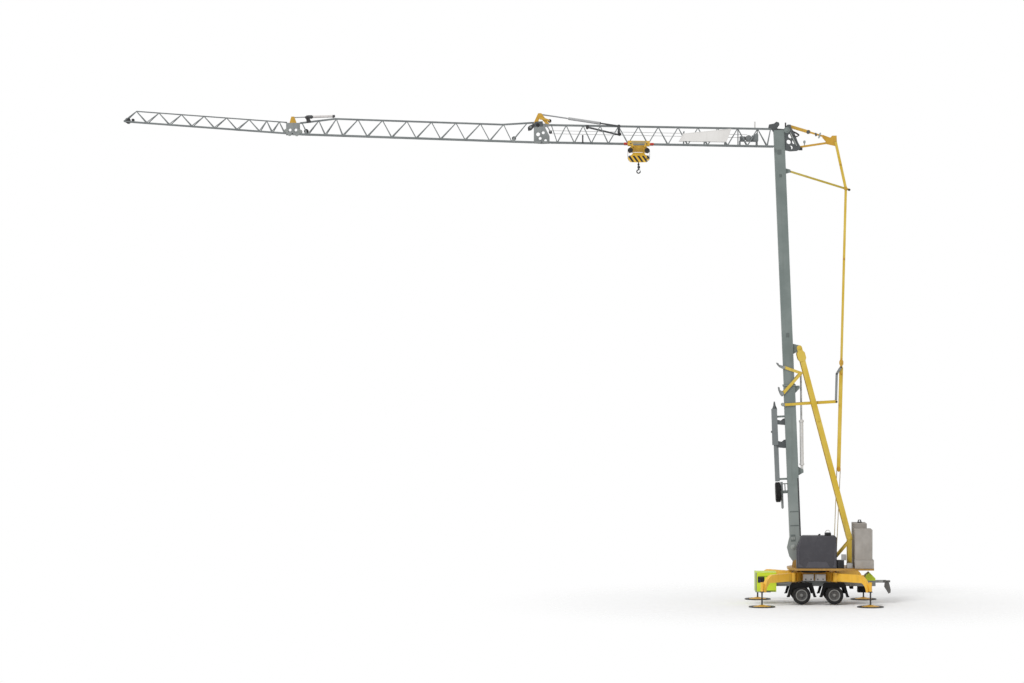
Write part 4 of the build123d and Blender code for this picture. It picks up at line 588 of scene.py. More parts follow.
cover_grey = moulded_plastic("cover_grey", (61, 60, 65), (75, 74, 78), 0.42)
cover_raised = moulded_plastic("cover_raised", (72, 71, 77), (85, 84, 88), 0.42)
COVER_HEIGHT = 1.35
LOW_PANEL = [(-0.38, 1.545), (-0.26, 1.8), (0.47, 1.8), (0.64, 1.545)]
FRONT_RIM = [
    (-0.69, 0.045), (-0.69, 0.785), (-0.6, 1.16), (-0.56, 1.12), (-0.64, 0.785), (-0.64, 0.205),
    (-0.46, 0.045),
]
REAR_RIM = [(0.86, 0.045), (0.72, 0.045), (0.8, 0.185), (0.81, 0.985), (0.86, 1.085)]
SCREWS = ((-0.3, 1.25), (0.1, 1.25), (0.5, 1.25), (-0.5, 0.5), (0.74, 0.5), (-0.5, 0.9), (0.74, 0.85))
panels = []
slats = []
screws = []
for side in ("near", "far"):
    softened("housing_" + side, 0.028, 3, "cover_" + side, cover_grey)
for sy, top in ((-1, 2.865), (1, 2.74)):
    tall = (top - DECK_TOP) / COVER_HEIGHT
    y0, y1 = sorted((sy * (DECK_HALF - 0.004), sy * (DECK_HALF + 0.014)))
    panels.append(plate(LOW_PANEL, y0, y1, 0.008))
    for rim in (FRONT_RIM, REAR_RIM):
        panels.append(plate([(x, DECK_TOP + tall * h) for x, h in rim], y0, y1, 0.006))
    for x, h in SCREWS:
        screws.append(((x, sy * (DECK_HALF - 0.002), DECK_TOP + tall * h), (0, sy, 0), 0.024))
    y0, y1 = sorted((sy * 0.62, sy * 1.03))
    for i in range(9):
        z = top - 0.42 - 0.06 * i
        slats.append(chest((0.9, y0, z), (0.922, y1, z + 0.028), 0.006))
fit(panels, "cover_panels", "upper", cover_raised)
fit(slats, "cover_louvres", "upper", black_fitting)
fit(bolt_heads(screws), "cover_screws", "upper", dark_paint)
lug = plate([(0.12, 2.85), (0.17, 2.92), (0.24, 2.935), (0.25, 2.85)], -0.86, -0.8, 0.006)
box = chest((0.42, -0.98, 2.85), (0.68, -0.66, 2.985), 0.02)
fit([lug, box], "cover_top_box", "upper", black_fitting)


def loop_handle(middle, reach, wire):
    """A round bar handle: half of a ring, cut at its foot."""
    bpy.ops.object.select_all(action="DESELECT")
    bpy.ops.mesh.primitive_torus_add(
        major_radius=reach, minor_radius=wire, major_segments=32, minor_segments=10,
        location=middle, rotation=(math.radians(90), 0, 0),
    )
    opened()
    bpy.ops.mesh.bisect(plane_co=middle, plane_no=UPRIGHT, clear_inner=True, use_fill=True)
    return closed_up()


handles = [loop_handle((0.55, y, 2.98), 0.1, 0.012) for y in (-0.92, -0.72)]
fit(handles, "cover_handles", "upper", pale_paint)


# Drive units beside the housing: a black motor with cooling ribs, bolted to the deck.
# A pale switch box stands on the motor and a pale foot box beside it, in painted sheet.
def pale_boxes(place):
    return place.sum("MAXIMUM", place.split("X") > 1.3, place.split("Z") > 1.852)


boxes = (pale_boxes, (150, 149, 148))
unit_paint = machine_paint("unit_paint", (30, 30, 32), (44, 43, 43), 0.5, 0.25, patch=boxes)
softened("drive_units", 0.012, 2, "drive_casings", unit_paint)
ribs = []
for i in range(7):
    x = 0.955 + 0.036 * i
    ribs.append(chest((x, -1.094, 1.56), (x + 0.012, -1.07, 1.83), 0.003))
fit(ribs, "motor_ribs", "upper", black_fitting)


# Ballast: cast concrete blocks on a base block, with the marks of the mould and a few pores darkened as
# painted shade.
# Their edges are chipped round, and a steel ring for lifting stands on the far block.
def cast_concrete():
    material, place = finish_of("cast_concrete", 0.0, 0.25)
    cloud = place.noise(1.4, 6.0, 0.65)
    pores = place.make("ShaderNodeTexVoronoi", {}, {"Vector": place, "Scale": 26.0}, "Distance")
    sand = place.noise(70.0, 4.0, 0.6)
    stain = place.stretched(4.0, 4.0, 0.4).noise(1.0, 4.0)
    hole = 1.0 - pores.step(0.06, 0.16)
    pale = cloud.step(0.3, 0.72).tint((146, 141, 135), (163, 158, 152))
    stained = pale.blend(stain.step(0.52, 0.8) * 0.4, (108, 101, 94))
    # Pores are darkened as painted shade inside them, and sunk in the bump.
    pores_shaded = stained.blend(hole * sand.step(0.45, 0.6) * 0.6, (92, 87, 82))
    gloss = 0.82 + (sand - 0.5) * 0.2
    return lay_on(material, pores_shaded, gloss, sand * 0.6 + cloud - hole * 0.8, 0.4, 0.006)


concrete = cast_concrete()
for part in ("base", "near", "far"):
    softened("ballast_" + part, 0.014, 2, "ballast_cast_" + part, concrete)
coat(dark_paint, "lifting_ring")
low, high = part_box("lifting_ring")
eye = loop_handle(((low[0] + high[0]) / 2, (low[1] + high[1]) / 2, high[2] - 0.075), 0.055, 0.016)
fit(eye, "lifting_loop", "upper", rail_paint)


# Mast: two long box tubes bolted at a flange, in grey-green paint with streaks down the faces.
# The lower tube has a hinge boss and flats at its foot and a dark strip up each side.
# The upper tube carries hatches, a cable pipe on clips and the bosses of the jib's pivot.
def paler_foot(place):
    return (1.0 - place.split("Z").step(2.0, 6.0)) * 0.6


pale_end = (paler_foot, (146, 150, 147))
mast_paint = machine_paint("mast_paint", (108, 118, 115), (122, 131, 128), 0.46, 0.35, patch=pale_end)
hatch_paint = machine_paint("hatch_paint", (86, 94, 92), (98, 105, 103), rough=0.5, soiling=0.4)
flat_paint = machine_paint("flat_paint", (142, 148, 144), (156, 160, 156), rough=0.46, soiling=0.4)
coat(mast_paint, "mast_lower", "mast_upper")
FOOT = Vector((-0.706, 0, 1.6))
LEAN = math.radians(2.365)
UP = Vector((-math.sin(LEAN), 0, math.cos(LEAN)))
OUT = Vector((math.cos(LEAN), 0, math.sin(LEAN)))
LOW_HALF, HIGH_HALF = 0.235, 0.22
LOW_FACE = (LOW_HALF - 0.002, LOW_HALF + 0.012)
HIGH_FACE = (HIGH_HALF - 0.002, HIGH_HALF + 0.01)
JOINT_S, FLANGE = 7.45, 0.03


def on_mast(s, u, y=0.0):
    """The point s metres up the mast's middle line and u metres behind it."""
    return FOOT + UP * s + OUT * u + Vector((0, y, 0))


def flat(points):
    """The X and Z of points, as a plate's outline."""
    return [(p.x, p.z) for p in points]


def mast_patch(s0, s1, u0, u1):
    """The outline of a rectangle on the mast's side."""
    return flat([on_mast(s, u) for s, u in ((s0, u0), (s1, u0), (s1, u1), (s0, u1))])


def plates(outline, inner, outer, edge=0.004):
    """A plate on each side, between two distances from the middle."""
    return [plate(outline, *sorted((s * inner, s * outer)), edge) for s in (-1, 1)]


ring = []
for i in range(7):
    d = -0.246 + 0.082 * i
    for u, y in ((d, 0.25), (d, -0.25), (0.25, d), (-0.25, d)):
        ring.append((on_mast(JOINT_S + FLANGE, u, y), UP, 0.024))
        ring.append((on_mast(JOINT_S - FLANGE, u, y), -UP, 0.024))
fit(bolt_heads(ring), "flange_bolts", "upper", dark_paint)

# Dark plates in a strip up each side of the lower tube.
dark_strips = plates(mast_patch(1.2, 3.6, 0.175, 0.233), *LOW_FACE)
fit(dark_strips, "mast_dark_strips", "upper", dark_paint)
HINGE_BOSS = [(0, 0.11), (0.014, 0.11), (0.02, 0.1), (0.02, 0.062), (0.036, 0.058), (0.04, 0.05)]
flats = knobs(-0.84, LOW_HALF - SUNK, 2.34, HINGE_BOSS, 32)
for u0, u1 in ((-0.17, -0.115), (-0.085, -0.03)):
    flats += plates(mast_patch(1.06, 1.18, u0, u1), *LOW_FACE)
fit(flats, "mast_flats", "upper", flat_paint)
hatches = plates(mast_patch(0.98, 1.27, -0.2, 0.0), LOW_HALF - 0.006, LOW_HALF + 0.006)
for s0, s1 in ((1.62, 1.66), (2.2, 2.24)):
    hatches += plates(mast_patch(s0, s1, -0.19, 0.16), *LOW_FACE)
for patch in ((17.02, 17.22, -0.1, 0.06), (16.08, 16.2, -0.06, 0.04), (9.45, 9.62, -0.05, 0.08)):
    hatches += plates(mast_patch(*patch), *HIGH_FACE)
fit(hatches, "mast_hatches", "upper", hatch_paint)

PIPE_S, PIPE_LENGTH = 8.6, 8.2
profile = [(0, 0.018), (0.01, 0.024), (PIPE_LENGTH - 0.01, 0.024), (PIPE_LENGTH, 0.018)]
pipe = [turned(on_mast(PIPE_S, 0.08, HIGH_HALF + 0.026), UP, profile, 12)]
for i in range(9):
    s = PIPE_S + 0.15 + 0.98 * i
    pipe.append(plate(mast_patch(s, s + 0.04, 0.045, 0.115), HIGH_HALF - 0.002, HIGH_HALF + 0.054))
fit(pipe, "cable_pipe", "upper", rail_paint)

PIVOT_X, PIVOT_Z = -1.125, 19.61
PIVOT_BOSS = [(0, 0.125), (0.012, 0.125), (0.018, 0.118), (0.018, 0.07), (0.03, 0.066), (0.034, 0.056)]
fit(knobs(PIVOT_X, 0.274, PIVOT_Z, PIVOT_BOSS, 32), "pivot_bosses", "upper", mast_paint)

# Stowed tow bar: a tapered grey box hung upright on the mast, above the spare road wheel.
# The wheel is made like the others, a little larger, and held on a round bracket post by its nuts.
jib_paint = machine_paint("jib_paint", (106, 111, 112), (120, 125, 125), rough=0.48, soiling=0.3)
foot_paint = machine_paint("foot_paint", (66, 70, 72), (82, 86, 87), rough=0.48, soiling=0.25)
coat(jib_paint, "stowed_towbar")
SPARE_R = 0.42
names = ("spare_tyre", "spare_disc", "spare_rim", "spare_nuts")
tyre = road_wheel(names, "upper", on_mast(3.04, -0.64), OUT, SPARE_R / WHEEL_R, 0.97)
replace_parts(tyre, "spare_wheel")
holder = [turned(on_mast(2.34, -0.475), UP, [(0, 0.02), (0.05, 0.05), (1.1, 0.05), (1.12, 0.04)], 16)]
for s in (2.98, 3.36):
    holder.append(plate(mast_patch(s, s + 0.04, -0.5, -LOW_HALF + 0.004), -0.05, 0.05, 0.008))
holder.append(plate(mast_patch(2.98, 3.4, -0.36, -0.32), -0.03, 0.03, 0.006))
fit(holder, "wheel_holder", "upper", rail_paint)
saddles = []
for s0, s1 in ((5.82, 6.08), (4.86, 5.2)):
    spots = (
        (s0, -LOW_HALF + 0.01), (s0, -0.3), (s0 + 0.04, -0.62), (s1 - 0.02, -0.62), (s1 - 0.08, -0.4),
        (s1, -0.3), (s1, -LOW_HALF + 0.01),
    )
    saddles += plates(flat([on_mast(s, u) for s, u in spots]), 0.08, 0.11)
tip = turned(on_mast(6.44, -0.64), UP, [(0, 0.11), (0.06, 0.105), (0.2, 0.05), (0.33, 0.032)], 20)
knob = turned(on_mast(5.55, -0.74), -OUT, [(-0.02, 0.03), (0.04, 0.03), (0.05, 0.045), (0.085, 0.04)], 16)
fit(saddles + [tip, knob], "towbar_saddles", "upper", foot_paint)


# Erecting gear: a two-legged strut, its posts, the knee arms and the guide arms, welded and painted yellow.
# Turned pins join them, each with a flanged head; the cylinder is pale with a plated rod and a gland.
def plated_steel(name, colour, dull, rough):
    material, place = finish_of(name, 0.9)
    film = place.noise(7.0, 4.0, 0.6)
    brushed = place.stretched(60.0, 60.0, 4.0).noise(1.0, 3.0)
    steel = film.step(0.4, 0.7).tint(colour, dull)
    return lay_on(material, steel, rough + film * 0.15 + brushed * 0.08, brushed, 0.08, 0.001)


strut_paint = machine_paint("strut_paint", (200, 167, 46), (210, 182, 80), soiling=0.28)
coat(strut_paint, "strut", "strut_support", "knee_arms", "guide_arm")
coat(rail_paint, "guide_link")
coat(pale_paint, "erecting_cylinder")
coat(plated_steel("rod_plating", (190, 192, 194), (150, 150, 148), 0.16), "erecting_rod")


def pin_heads(*places):
    """Flanged heads on both ends of pins; a place is a point, the half length and the head's radius."""
    heads = []
    for p, half, r in places:
        profile = [(0, r), (0.012, r), (0.016, 0.92 * r), (0.016, 0.6 * r), (0.03, 0.5 * r)]
        heads += knobs(p.x, half - SUNK, p.z, profile)
    return heads


strut_foot = Vector((1.485, 0, 2.705))
strut_head = on_mast(8.99, 0.471)
strut_tie = strut_foot.lerp(strut_head, 0.62)
knee = on_mast(7.936, 0.507)
knee_upper = on_mast(8.21, -0.179)
knee_lower = on_mast(7.118, -0.287)
guide_foot = on_mast(6.66, -0.285)
guide_ends = [Vector((0.93, 0, 8.37)), Vector((0.96, 0, 9.52)), Vector((1.13, 0, 9.8))]
heads = pin_heads(
    (strut_head, 0.47, 0.085), (strut_tie, 0.47, 0.07), (strut_foot, 0.495, 0.07), (knee, 0.3, 0.06)
)
fit(heads, "strut_pins", "upper", strut_paint)
heads = pin_heads((knee_lower, 0.3, 0.05), (guide_foot, 0.3, 0.07), (knee_upper, 0.267, 0.05))
fit(heads, "arm_pins", "upper", flat_paint)

run = (strut_head - strut_foot).normalized()
across = Vector((run.z, 0, -run.x))
spot = strut_head - run * 0.33
half_collar = [(-0.24, 0.108), (-0.13, 0.165), (0.1, 0.165), (0.2, 0.1)]
collar = half_collar + [(a, -b) for a, b in reversed(half_collar)]
outline = flat([spot + run * a + across * b for a, b in collar])
collars = plates(outline, 0.328, 0.342) + plates(outline, 0.468, 0.482)
fit(collars, "strut_collars", "upper", strut_paint)
UPPER_LUG = [
    (-1.55, 9.98), (-1.47, 9.97), (-1.44, 9.9), (-1.3, 9.86), (-1.2, 9.84), (-1.18, 9.76), (-1.28, 9.72),
    (-1.4, 9.78), (-1.5, 9.88),
]
LOWER_LUG = [
    (-1.47, 8.97), (-1.42, 8.97), (-1.4, 8.85), (-1.33, 8.82), (-1.24, 8.75), (-1.26, 8.62), (-1.32, 8.58),
    (-1.38, 8.66), (-1.45, 8.82),
]
lugs = plates(UPPER_LUG, 0.268, 0.292) + plates(LOWER_LUG, 0.302, 0.322)
fit(lugs, "arm_lugs", "upper", rail_paint)
heads = pin_heads((guide_ends[0], 0.3, 0.04), (guide_ends[1], 0.172, 0.035), (guide_ends[2], 0.172, 0.035))
fit(heads, "guide_pins", "upper", dark_paint)

cylinder_foot = on_mast(3.873, 0.39)
stroke = knee - cylinder_foot
GLAND = [(-0.09, 0.09), (-0.085, 0.1), (-0.01, 0.1), (0.0, 0.092), (0.0, 0.07), (0.03, 0.05)]
FOOT_BAND = [(0.0, 0.09), (0.006, 0.098), (0.06, 0.098), (0.066, 0.09)]
bands = [
    turned(cylinder_foot.lerp(knee, 0.52), stroke, GLAND, 32),
    turned(cylinder_foot.lerp(knee, 0.062), stroke, FOOT_BAND, 32),
]
fit(bands, "cylinder_bands", "upper", pale_paint)


# Tie line: flat yellow bars in pairs from the rear lever down to a rope block, with rope falls to the deck.
# Pins with flanged heads join the bars; the ropes are hemp-coloured and end in dark sockets on the deck.
def wire_rope(name, strand, groove_shade, grease, metallic):
    material, place = finish_of(name, metallic)
    lay = place.wave("DIAGONAL", 40.0, 0.6)
    film = place.noise(5.0, 4.0)
    # The lay is darker in its grooves as painted shade between the strands, and the film is grease.
    grease_and_groove_shade = lay.tint(groove_shade, strand).blend(film.step(0.5, 0.8) * 0.5, grease)
    return lay_on(material, grease_and_groove_shade, 0.55 - lay * 0.15, lay, 0.5, 0.004)


def cross_pin(x, z, half, r, fall, run=0.01, steps=20):
    """A round pin across the crane, its ends tapered by fall over run."""
    profile = [(0, r - fall), (run, r), (2 * half - run, r), (2 * half, r - fall)]
    return turned((x, -half, z), (0, 1, 0), profile, steps)


lever_paint = machine_paint("lever_paint", (188, 141, 34), (199, 157, 58), soiling=0.28)
guide_paint = machine_paint("guide_paint", (176, 154, 52), (188, 168, 80), soiling=0.3)
coat(strut_paint, "tie_lower", "tie_upper")
coat(guide_paint, "guide_strut")
tie_head = Vector((0.892, 0, 19.18))
tie_knee = Vector((1.328, 0, 17.19))
tie_block = Vector((1.041, 0, 5.57))
spacers = [tie_knee.lerp(tie_block, f) for f in (0.25, 0.62, 0.66)] + [tie_block]
heads = pin_heads(*[(p, 0.111, 0.045) for p in spacers])
fit(heads, "tie_lower_pins", "tie_lower", lever_paint)
eyes = []
for p, reach in ((spacers[1], 0.2), (tie_block, 0.12)):
    outline = [(0, reach), (0.08, 0.05), (0.08, -0.06), (0.0, -reach), (-0.08, -0.06), (-0.08, 0.05)]
    eyes += plates([(p.x + a, p.z + b) for a, b in outline], 0.109, 0.119, 0.003)
fit(eyes, "tie_eyes", "tie_lower", lever_paint)
heads = pin_heads((tie_head.lerp(tie_knee, 0.5), 0.076, 0.036), (tie_knee, 0.131, 0.055))
fit(heads, "tie_upper_pins", "tie_upper", lever_paint)
fit(pin_heads((tie_head, 0.076, 0.05)), "tie_head_pins", "jib", lever_paint)
knob = cross_pin(1.468, 17.143, 0.05, 0.05, 0.01)
fit(knob, "guide_strut_knob", "guide_strut", dark_paint)

hemp_rope = wire_rope("hemp_rope", (204, 186, 132), (150, 130, 88), (120, 106, 78), 0.0)
ROPE_FOOT = Vector((0.88, 0, 1.5555))
TIE_ROPE_R = 0.016
ROPE_SOCKET = [(-0.042, 0.03), (0.0, 0.034), (0.05, 0.032), (0.1, 0.022), (0.1, 0.0165)]
falls = []
sockets = []
for s in (-1, 1):
    low = ROPE_FOOT + Vector((s * 0.05, 0, 0))
    run = tie_block + Vector((s * 0.072, 0, 0)) - low
    falls.append(turned(low, run, [(0, TIE_ROPE_R), (run.length, TIE_ROPE_R)], 10))
    sockets.append(turned(low, run, ROPE_SOCKET, 16, True))
tie_falls = fit(falls, "tie_falls", "upper", hemp_rope)
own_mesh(tie_falls)
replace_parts(tie_falls, "tie_ropes")
fit(sockets, "rope_sockets", "upper", dark_paint)

# Jib foot: a charcoal plate frame that turns on the mast's pivot, with the yellow rear lever behind it.
# A post, a lamp and a switch box are bolted on, two stays brace it, and a hose loops out on each side.
coat(foot_paint, "jib_foot_frame")
coat(lever_paint, "rear_lever")
knuckle = cross_pin(-0.228, 19.54, 0.064, 0.084, 0.014, 0.01, 28)
collar = plate([(0.06, 19.36), (0.04, 19.5), (0.1, 19.51), (0.13, 19.37)], -0.06, 0.06, 0.008)
fit([knuckle, collar], "lever_knuckle", "jib", foot_paint)
outline = [(0.2, 19.27), (0.18, 19.3), (0.24, 19.5), (0.28, 19.52), (0.3, 19.49), (0.24, 19.29)]
fork = plates(outline, 0.042, 0.058, 0.003) + [cross_pin(0.24, 19.4, 0.07, 0.022, 0.006, 0.006, 16)]
fit(fork, "lever_fork", "jib", flat_paint)


def bar_run(points, radius, steps=10):
    """A round bar or a taut rope through points, as straight lengths with a joint at each point."""
    lengths = []
    for a, b in zip(points, points[1:]):
        run = Vector(b) - Vector(a)
        far = run.length
        tip, end = 0.3 * radius, 0.8 * radius
        lengths.append(turned(a, run, [(-tip, end), (0, radius), (far, radius), (far + tip, end)], steps))
    return lengths


HOSE = (
    (-0.9, 19.57), (-0.74, 19.5), (-0.65, 19.44), (-0.62, 19.4), (-0.67, 19.36), (-0.77, 19.35),
    (-0.86, 19.39),
)
HOSE_Y, HOSE_R, STAY_Y, STAY_R = 0.288, 0.02, 0.29, 0.022
LAMP = [(0, 0.022), (0.09, 0.022), (0.1, 0.045), (0.17, 0.05), (0.21, 0.03)]
fittings = [
    chest((-1.2, -0.03, 19.72), (-1.14, 0.03, 19.93), 0.008),
    chest((-0.62, -0.06, 18.78), (-0.47, 0.06, 18.9), 0.01),
]
stays = [turned((-0.386, 0, 18.98), UPRIGHT, LAMP, 20)]
for s in (-1, 1):
    fittings += bar_run([(x, s * HOSE_Y, z) for x, z in HOSE], HOSE_R)
    stays += bar_run([(-0.98, s * STAY_Y, 19.5), (-0.72, s * STAY_Y, 18.96)], STAY_R)
fit(fittings, "foot_fittings", "jib", dark_paint)
fit(stays, "foot_stays", "jib", flat_paint)

# Jib sections: three lattice lengths of grey tube with flat lacing, welded.
# Two thin steel ropes run inside the first, from the trolley winch to a roller at the first fold.
coat(jib_paint, "jib_root", "jib_mid", "jib_tip")
rope_steel = wire_rope("rope_steel", (128, 126, 122), (66, 65, 64), (48, 45, 42), 0.5)
ropes = []
for y, lift in ((-0.05, 0.0), (0.05, 0.13)):
    ropes += bar_run([(-2.75, y, 19.3 + lift), (-10.91, y, 19.475 + lift)], 0.007, 6)
fit(ropes, "trolley_ropes", "jib", rope_steel)
FLANK = [(-1.0, 0.5), (-0.97, 0.96), (-0.8, 1.0), (-0.5, 0.8)]
GROOVE = FLANK + [(-a, r) for a, r in reversed(FLANK)]


def roller(x, z, r, half):
    """A grooved roller across the jib."""
    return turned((x, 0, z), (0, 1, 0), [(a * half, b * r) for a, b in GROOVE], 28)


sheaves = [roller(-28.46, 20.03, 0.115, 0.07), roller(-28.24, 20.05, 0.06, 0.1)]
fit(sheaves, "nose_sheaves", "jib", dark_paint)


# Fold gear: bored plates, yellow levers and pale rams that fold the jib at its two joints.
# Pinned lugs hinge the lower chords, dark hangers carry the rams, and black rollers guide the ropes.
# Each ram has a bright rod, a pale barrel and a dark tail.
def ram_finish():
    material, place = finish_of("ram_finish", 0.1)
    x = place.split("X")
    dust = place.noise(6.0, 4.0, 0.6)
    rod = x.within(-11.42, -10.22) + x.within(-21.7, -21.0)
    tail = x.within(-8.86, -7.0) + (x > -10.1) * (place.split("Z") < 19.74)
    dark = tail + x.within(-19.95, -15.0) + x.within(-21.0, -20.76)
    barrel = (x > -15.0).tint((206, 202, 200), (166, 167, 168))
    dusted = barrel.blend(dust.step(0.4, 0.7) * 0.3, (120, 118, 114))
    banded = dusted.blend(rod, (140, 142, 144)).blend(dark.step(0.4, 0.6), (66, 67, 69))
    return lay_on(material, banded, 0.42 - rod * 0.2 + dust * 0.12, dust, 0.06, 0.002)


coat(rail_paint, "fold_plates")
coat(lever_paint, "fold_levers")
coat(ram_finish(), "fold_cylinders")
LEVER_Y = 0.112
ROLLERS = (
    (-10.94, 20.005, 0.075, 0.125), (-11.43, 19.83, 0.08, 0.0), (-10.91, 19.54, 0.07, 0.125),
    (-12.42, 19.28, 0.085, 0.42), (-21.04, 19.58, 0.095, 0.4), (-8.04, 19.45, 0.07, 0.0),
)
rollers = []
axles = []
for x, z, r, half in ROLLERS:
    rollers.append(roller(x, z, r, 0.1))
    if half:
        axles.append(cross_pin(x, z, half, 0.02, 0.006, steps=12))
    if half > 0.2:
        stand = [(x - 0.06, z - 0.16), (x - 0.03, z + 0.035), (x + 0.03, z + 0.035), (x + 0.06, z - 0.16)]
        axles += plates(stand, half - 0.018, half - 0.002, 0.003)
for y in (-LEVER_Y, LEVER_Y):
    axles += bar_run([(-11.14, y, 19.88), (-11.0, y, 19.72), (-10.91, y, 19.54)], 0.024)
fit(rollers, "fold_rollers", "jib", black_fitting)
fit(axles, "roller_axles", "jib", rail_paint)
HORN = [
    (-11.42, 20.16), (-11.3, 20.17), (-11.1, 20.11), (-10.94, 20.05), (-10.92, 19.97), (-11.12, 20.03),
    (-11.35, 20.07),
]
horns = plates(HORN, LEVER_Y - 0.01, LEVER_Y + 0.01, 0.003)
fit(horns, "lever_horns", "jib", lever_paint)
GUARD = [(-11.85, 19.72), (-11.8, 19.8), (-11.56, 19.9), (-11.56, 19.78), (-11.7, 19.62), (-11.83, 19.59)]
COVER = [(-11.55, 19.76), (-11.55, 19.97), (-11.23, 19.99), (-11.21, 19.78)]
fit(plates(GUARD, 0.079, 0.092, 0.003), "fold_guards", "jib", dark_paint)
fit(plates(COVER, 0.079, 0.092), "fold_covers", "jib", foot_paint)
fit(cross_pin(-11.73, 19.75, 0.1, 0.06, 0.01), "fold_knob", "jib", rail_paint)


def hinge_lug(end, pin, half, eye):
    """The outline of a lug from a chord's end to the round eye about its pin."""
    way = 1 if pin[0] > end[0] else -1
    turns = [math.radians(a) for a in (90, 60, 30, 0, -30, -60, -90)]
    round_eye = [(pin[0] + way * eye * math.cos(a), pin[1] + eye * math.sin(a)) for a in turns]
    return [(end[0], end[1] - half), (end[0], end[1] + half)] + round_eye


CHORD_Y, EYE_R = 0.38, 0.05
HINGES = (((-10.94, 19.108), (-11.6, 19.116), 0.035), ((-21.304, 19.455), (-21.88, 19.494), 0.03))
HINGE_PIN = [
    (0, 0.02), (0.004, 0.026), (0.02, 0.026), (0.02, 0.018), (0.09, 0.018), (0.09, 0.026), (0.1, 0.022),
]
lugs = []
pins = []
for inner, outer, half in HINGES:
    pin = ((inner[0] + outer[0]) / 2, (inner[1] + outer[1]) / 2)
    lugs += plates(hinge_lug(outer, pin, half, EYE_R), CHORD_Y - 0.012, CHORD_Y + 0.012, 0.003)
    for y in (CHORD_Y - 0.023, CHORD_Y + 0.023):
        lugs += plates(hinge_lug(inner, pin, half, EYE_R), y - 0.008, y + 0.008, 0.003)
    for y in (-CHORD_Y, CHORD_Y):
        pins.append(turned((pin[0], y - 0.05, pin[1]), (0, 1, 0), HINGE_PIN, 20))
fit(lugs, "chord_hinges", "jib", rail_paint)
fit(pins, "chord_hinge_pins", "jib", dark_paint)
HANGER = [(-9.44, 19.82), (-9.44, 19.72), (-9.41, 19.66), (-9.35, 19.66), (-9.32, 19.72), (-9.32, 19.82)]
SADDLE = [(-21.1, 20.2), (-20.96, 20.2), (-20.86, 20.03), (-20.86, 19.95), (-21.02, 19.93), (-21.04, 20.06)]
hangers = plates(HANGER, 0.077, 0.093, 0.003) + plates(SADDLE, 0.0535, 0.0655, 0.003)
hangers += [cross_pin(x, z, 0.11, 0.062, 0.012, 0.012) for x, z in ((-9.38, 19.72), (-21.03, 20.15))]
fit(hangers, "ram_hangers", "jib", dark_paint)
lobes = []
for x, z, r in ((-21.87, 19.58, 0.1), (-21.31, 19.56, 0.1), (-21.74, 19.46, 0.075), (-21.44, 19.45, 0.075)):
    profile = [(0.079, r * 0.9), (0.084, r), (0.1, r), (0.105, r * 0.9), (0.105, r * 0.6), (0.097, r * 0.5)]
    lobes += knobs(x, 0, z, profile, 28)
fit(lobes, "fold_lobes", "jib", flat_paint)

# Blank panels: pale sheet on three posts on each side of the root section.
# A folded border runs round each sheet, and rivets hold it to the posts.
ROOT = Vector((-1.655, 0, 18.938))
SLOPE = math.radians(1.05)
SHEET_FACE = 0.399
SHEET = ((3.935, 0.146), (3.737, 0.464), (1.779, 0.694), (1.977, 0.146))
INSET = ((3.89, 0.17), (3.722, 0.44), (1.825, 0.662), (1.991, 0.17))
RIVET_PITCH = 0.16


def bare_posts(place):
    t = (place.split("X") - ROOT.x) * -1.0
    h = place.split("Z") - ROOT.z - t * 0.0183
    return place.sum("MAXIMUM", h < 0.142, h > 0.907 - t * 0.1175)


def on_root(t, h, y=0.0):
    """The point t metres out along the root section's lower chord and h metres above it."""
    x = -t * math.cos(SLOPE) - h * math.sin(SLOPE)
    return ROOT + Vector((x, y, t * math.sin(SLOPE) + h * math.cos(SLOPE)))


bare = (bare_posts, (110, 115, 116))
panel_sheet = machine_paint("panel_sheet", (216, 213, 210), (226, 224, 221), 0.5, 0.12, patch=bare)
coat(panel_sheet, "sign_panels")
edges = []
rivets = []
for i in range(4):
    j = (i + 1) % 4
    a, b = on_root(*INSET[i]), on_root(*INSET[j])
    outline = flat([on_root(*SHEET[i]), on_root(*SHEET[j]), b, a])
    edges += plates(outline, SHEET_FACE - 0.002, SHEET_FACE + 0.006, 0.002)
    count = max(2, round((b - a).length / RIVET_PITCH))
    for k in range(count):
        p = a.lerp(b, (k + 0.5) / count)
        rivets += [((p.x, sy * (SHEET_FACE - SUNK), p.z), (0, sy, 0), 1.0) for sy in (-1, 1)]
dome = turned((0, 0, 0), UPRIGHT, [(0, 0.011), (0.004, 0.009), (0.007, 0.004)], 8)
fit(copied(dome, rivets), "panel_rivets", "jib", pale_paint)
fit(edges, "panel_borders", "jib", panel_sheet)

# Trolley winch: a grey frame bolted on the lower chords, with a drum wound with rope and a ribbed motor.
# Round posts tie it to the upper chord, and two short posts for lamps stand on the chords.
winch_paint = machine_paint("winch_paint", (108, 112, 113), (122, 125, 126), 0.5, 0.35)
coat(winch_paint, "trolley_winch")
TURNS, TURN_PITCH = 22, 0.016
winding = [(-0.18, 0.1)]
for i in range(TURNS):
    a = -0.176 + TURN_PITCH * i
    winding += [(a, 0.122), (a + TURN_PITCH / 2, 0.128)]
winding += [(0.176, 0.122), (0.18, 0.1)]
drum = turned(on_root(1.04, 0.32), (0, 1, 0), winding, 32)
fit(drum, "winch_winding", "jib", rope_steel)
ribs = []
for i in range(9):
    low = on_root(1.18 + 0.027 * i, 0.205)
    ribs.append(chest((low.x - 0.01, -0.122, low.z), (low.x, 0.122, low.z + 0.195), 0.003))
fit(ribs, "winch_ribs", "jib", winch_paint)
WINCH_CHEEK = [(-2.62, 19.16), (-2.3, 19.16), (-2.3, 19.44), (-2.38, 19.5), (-2.46, 19.42), (-2.62, 19.24)]
posts = plates(WINCH_CHEEK, 0.117, 0.133, 0.003)
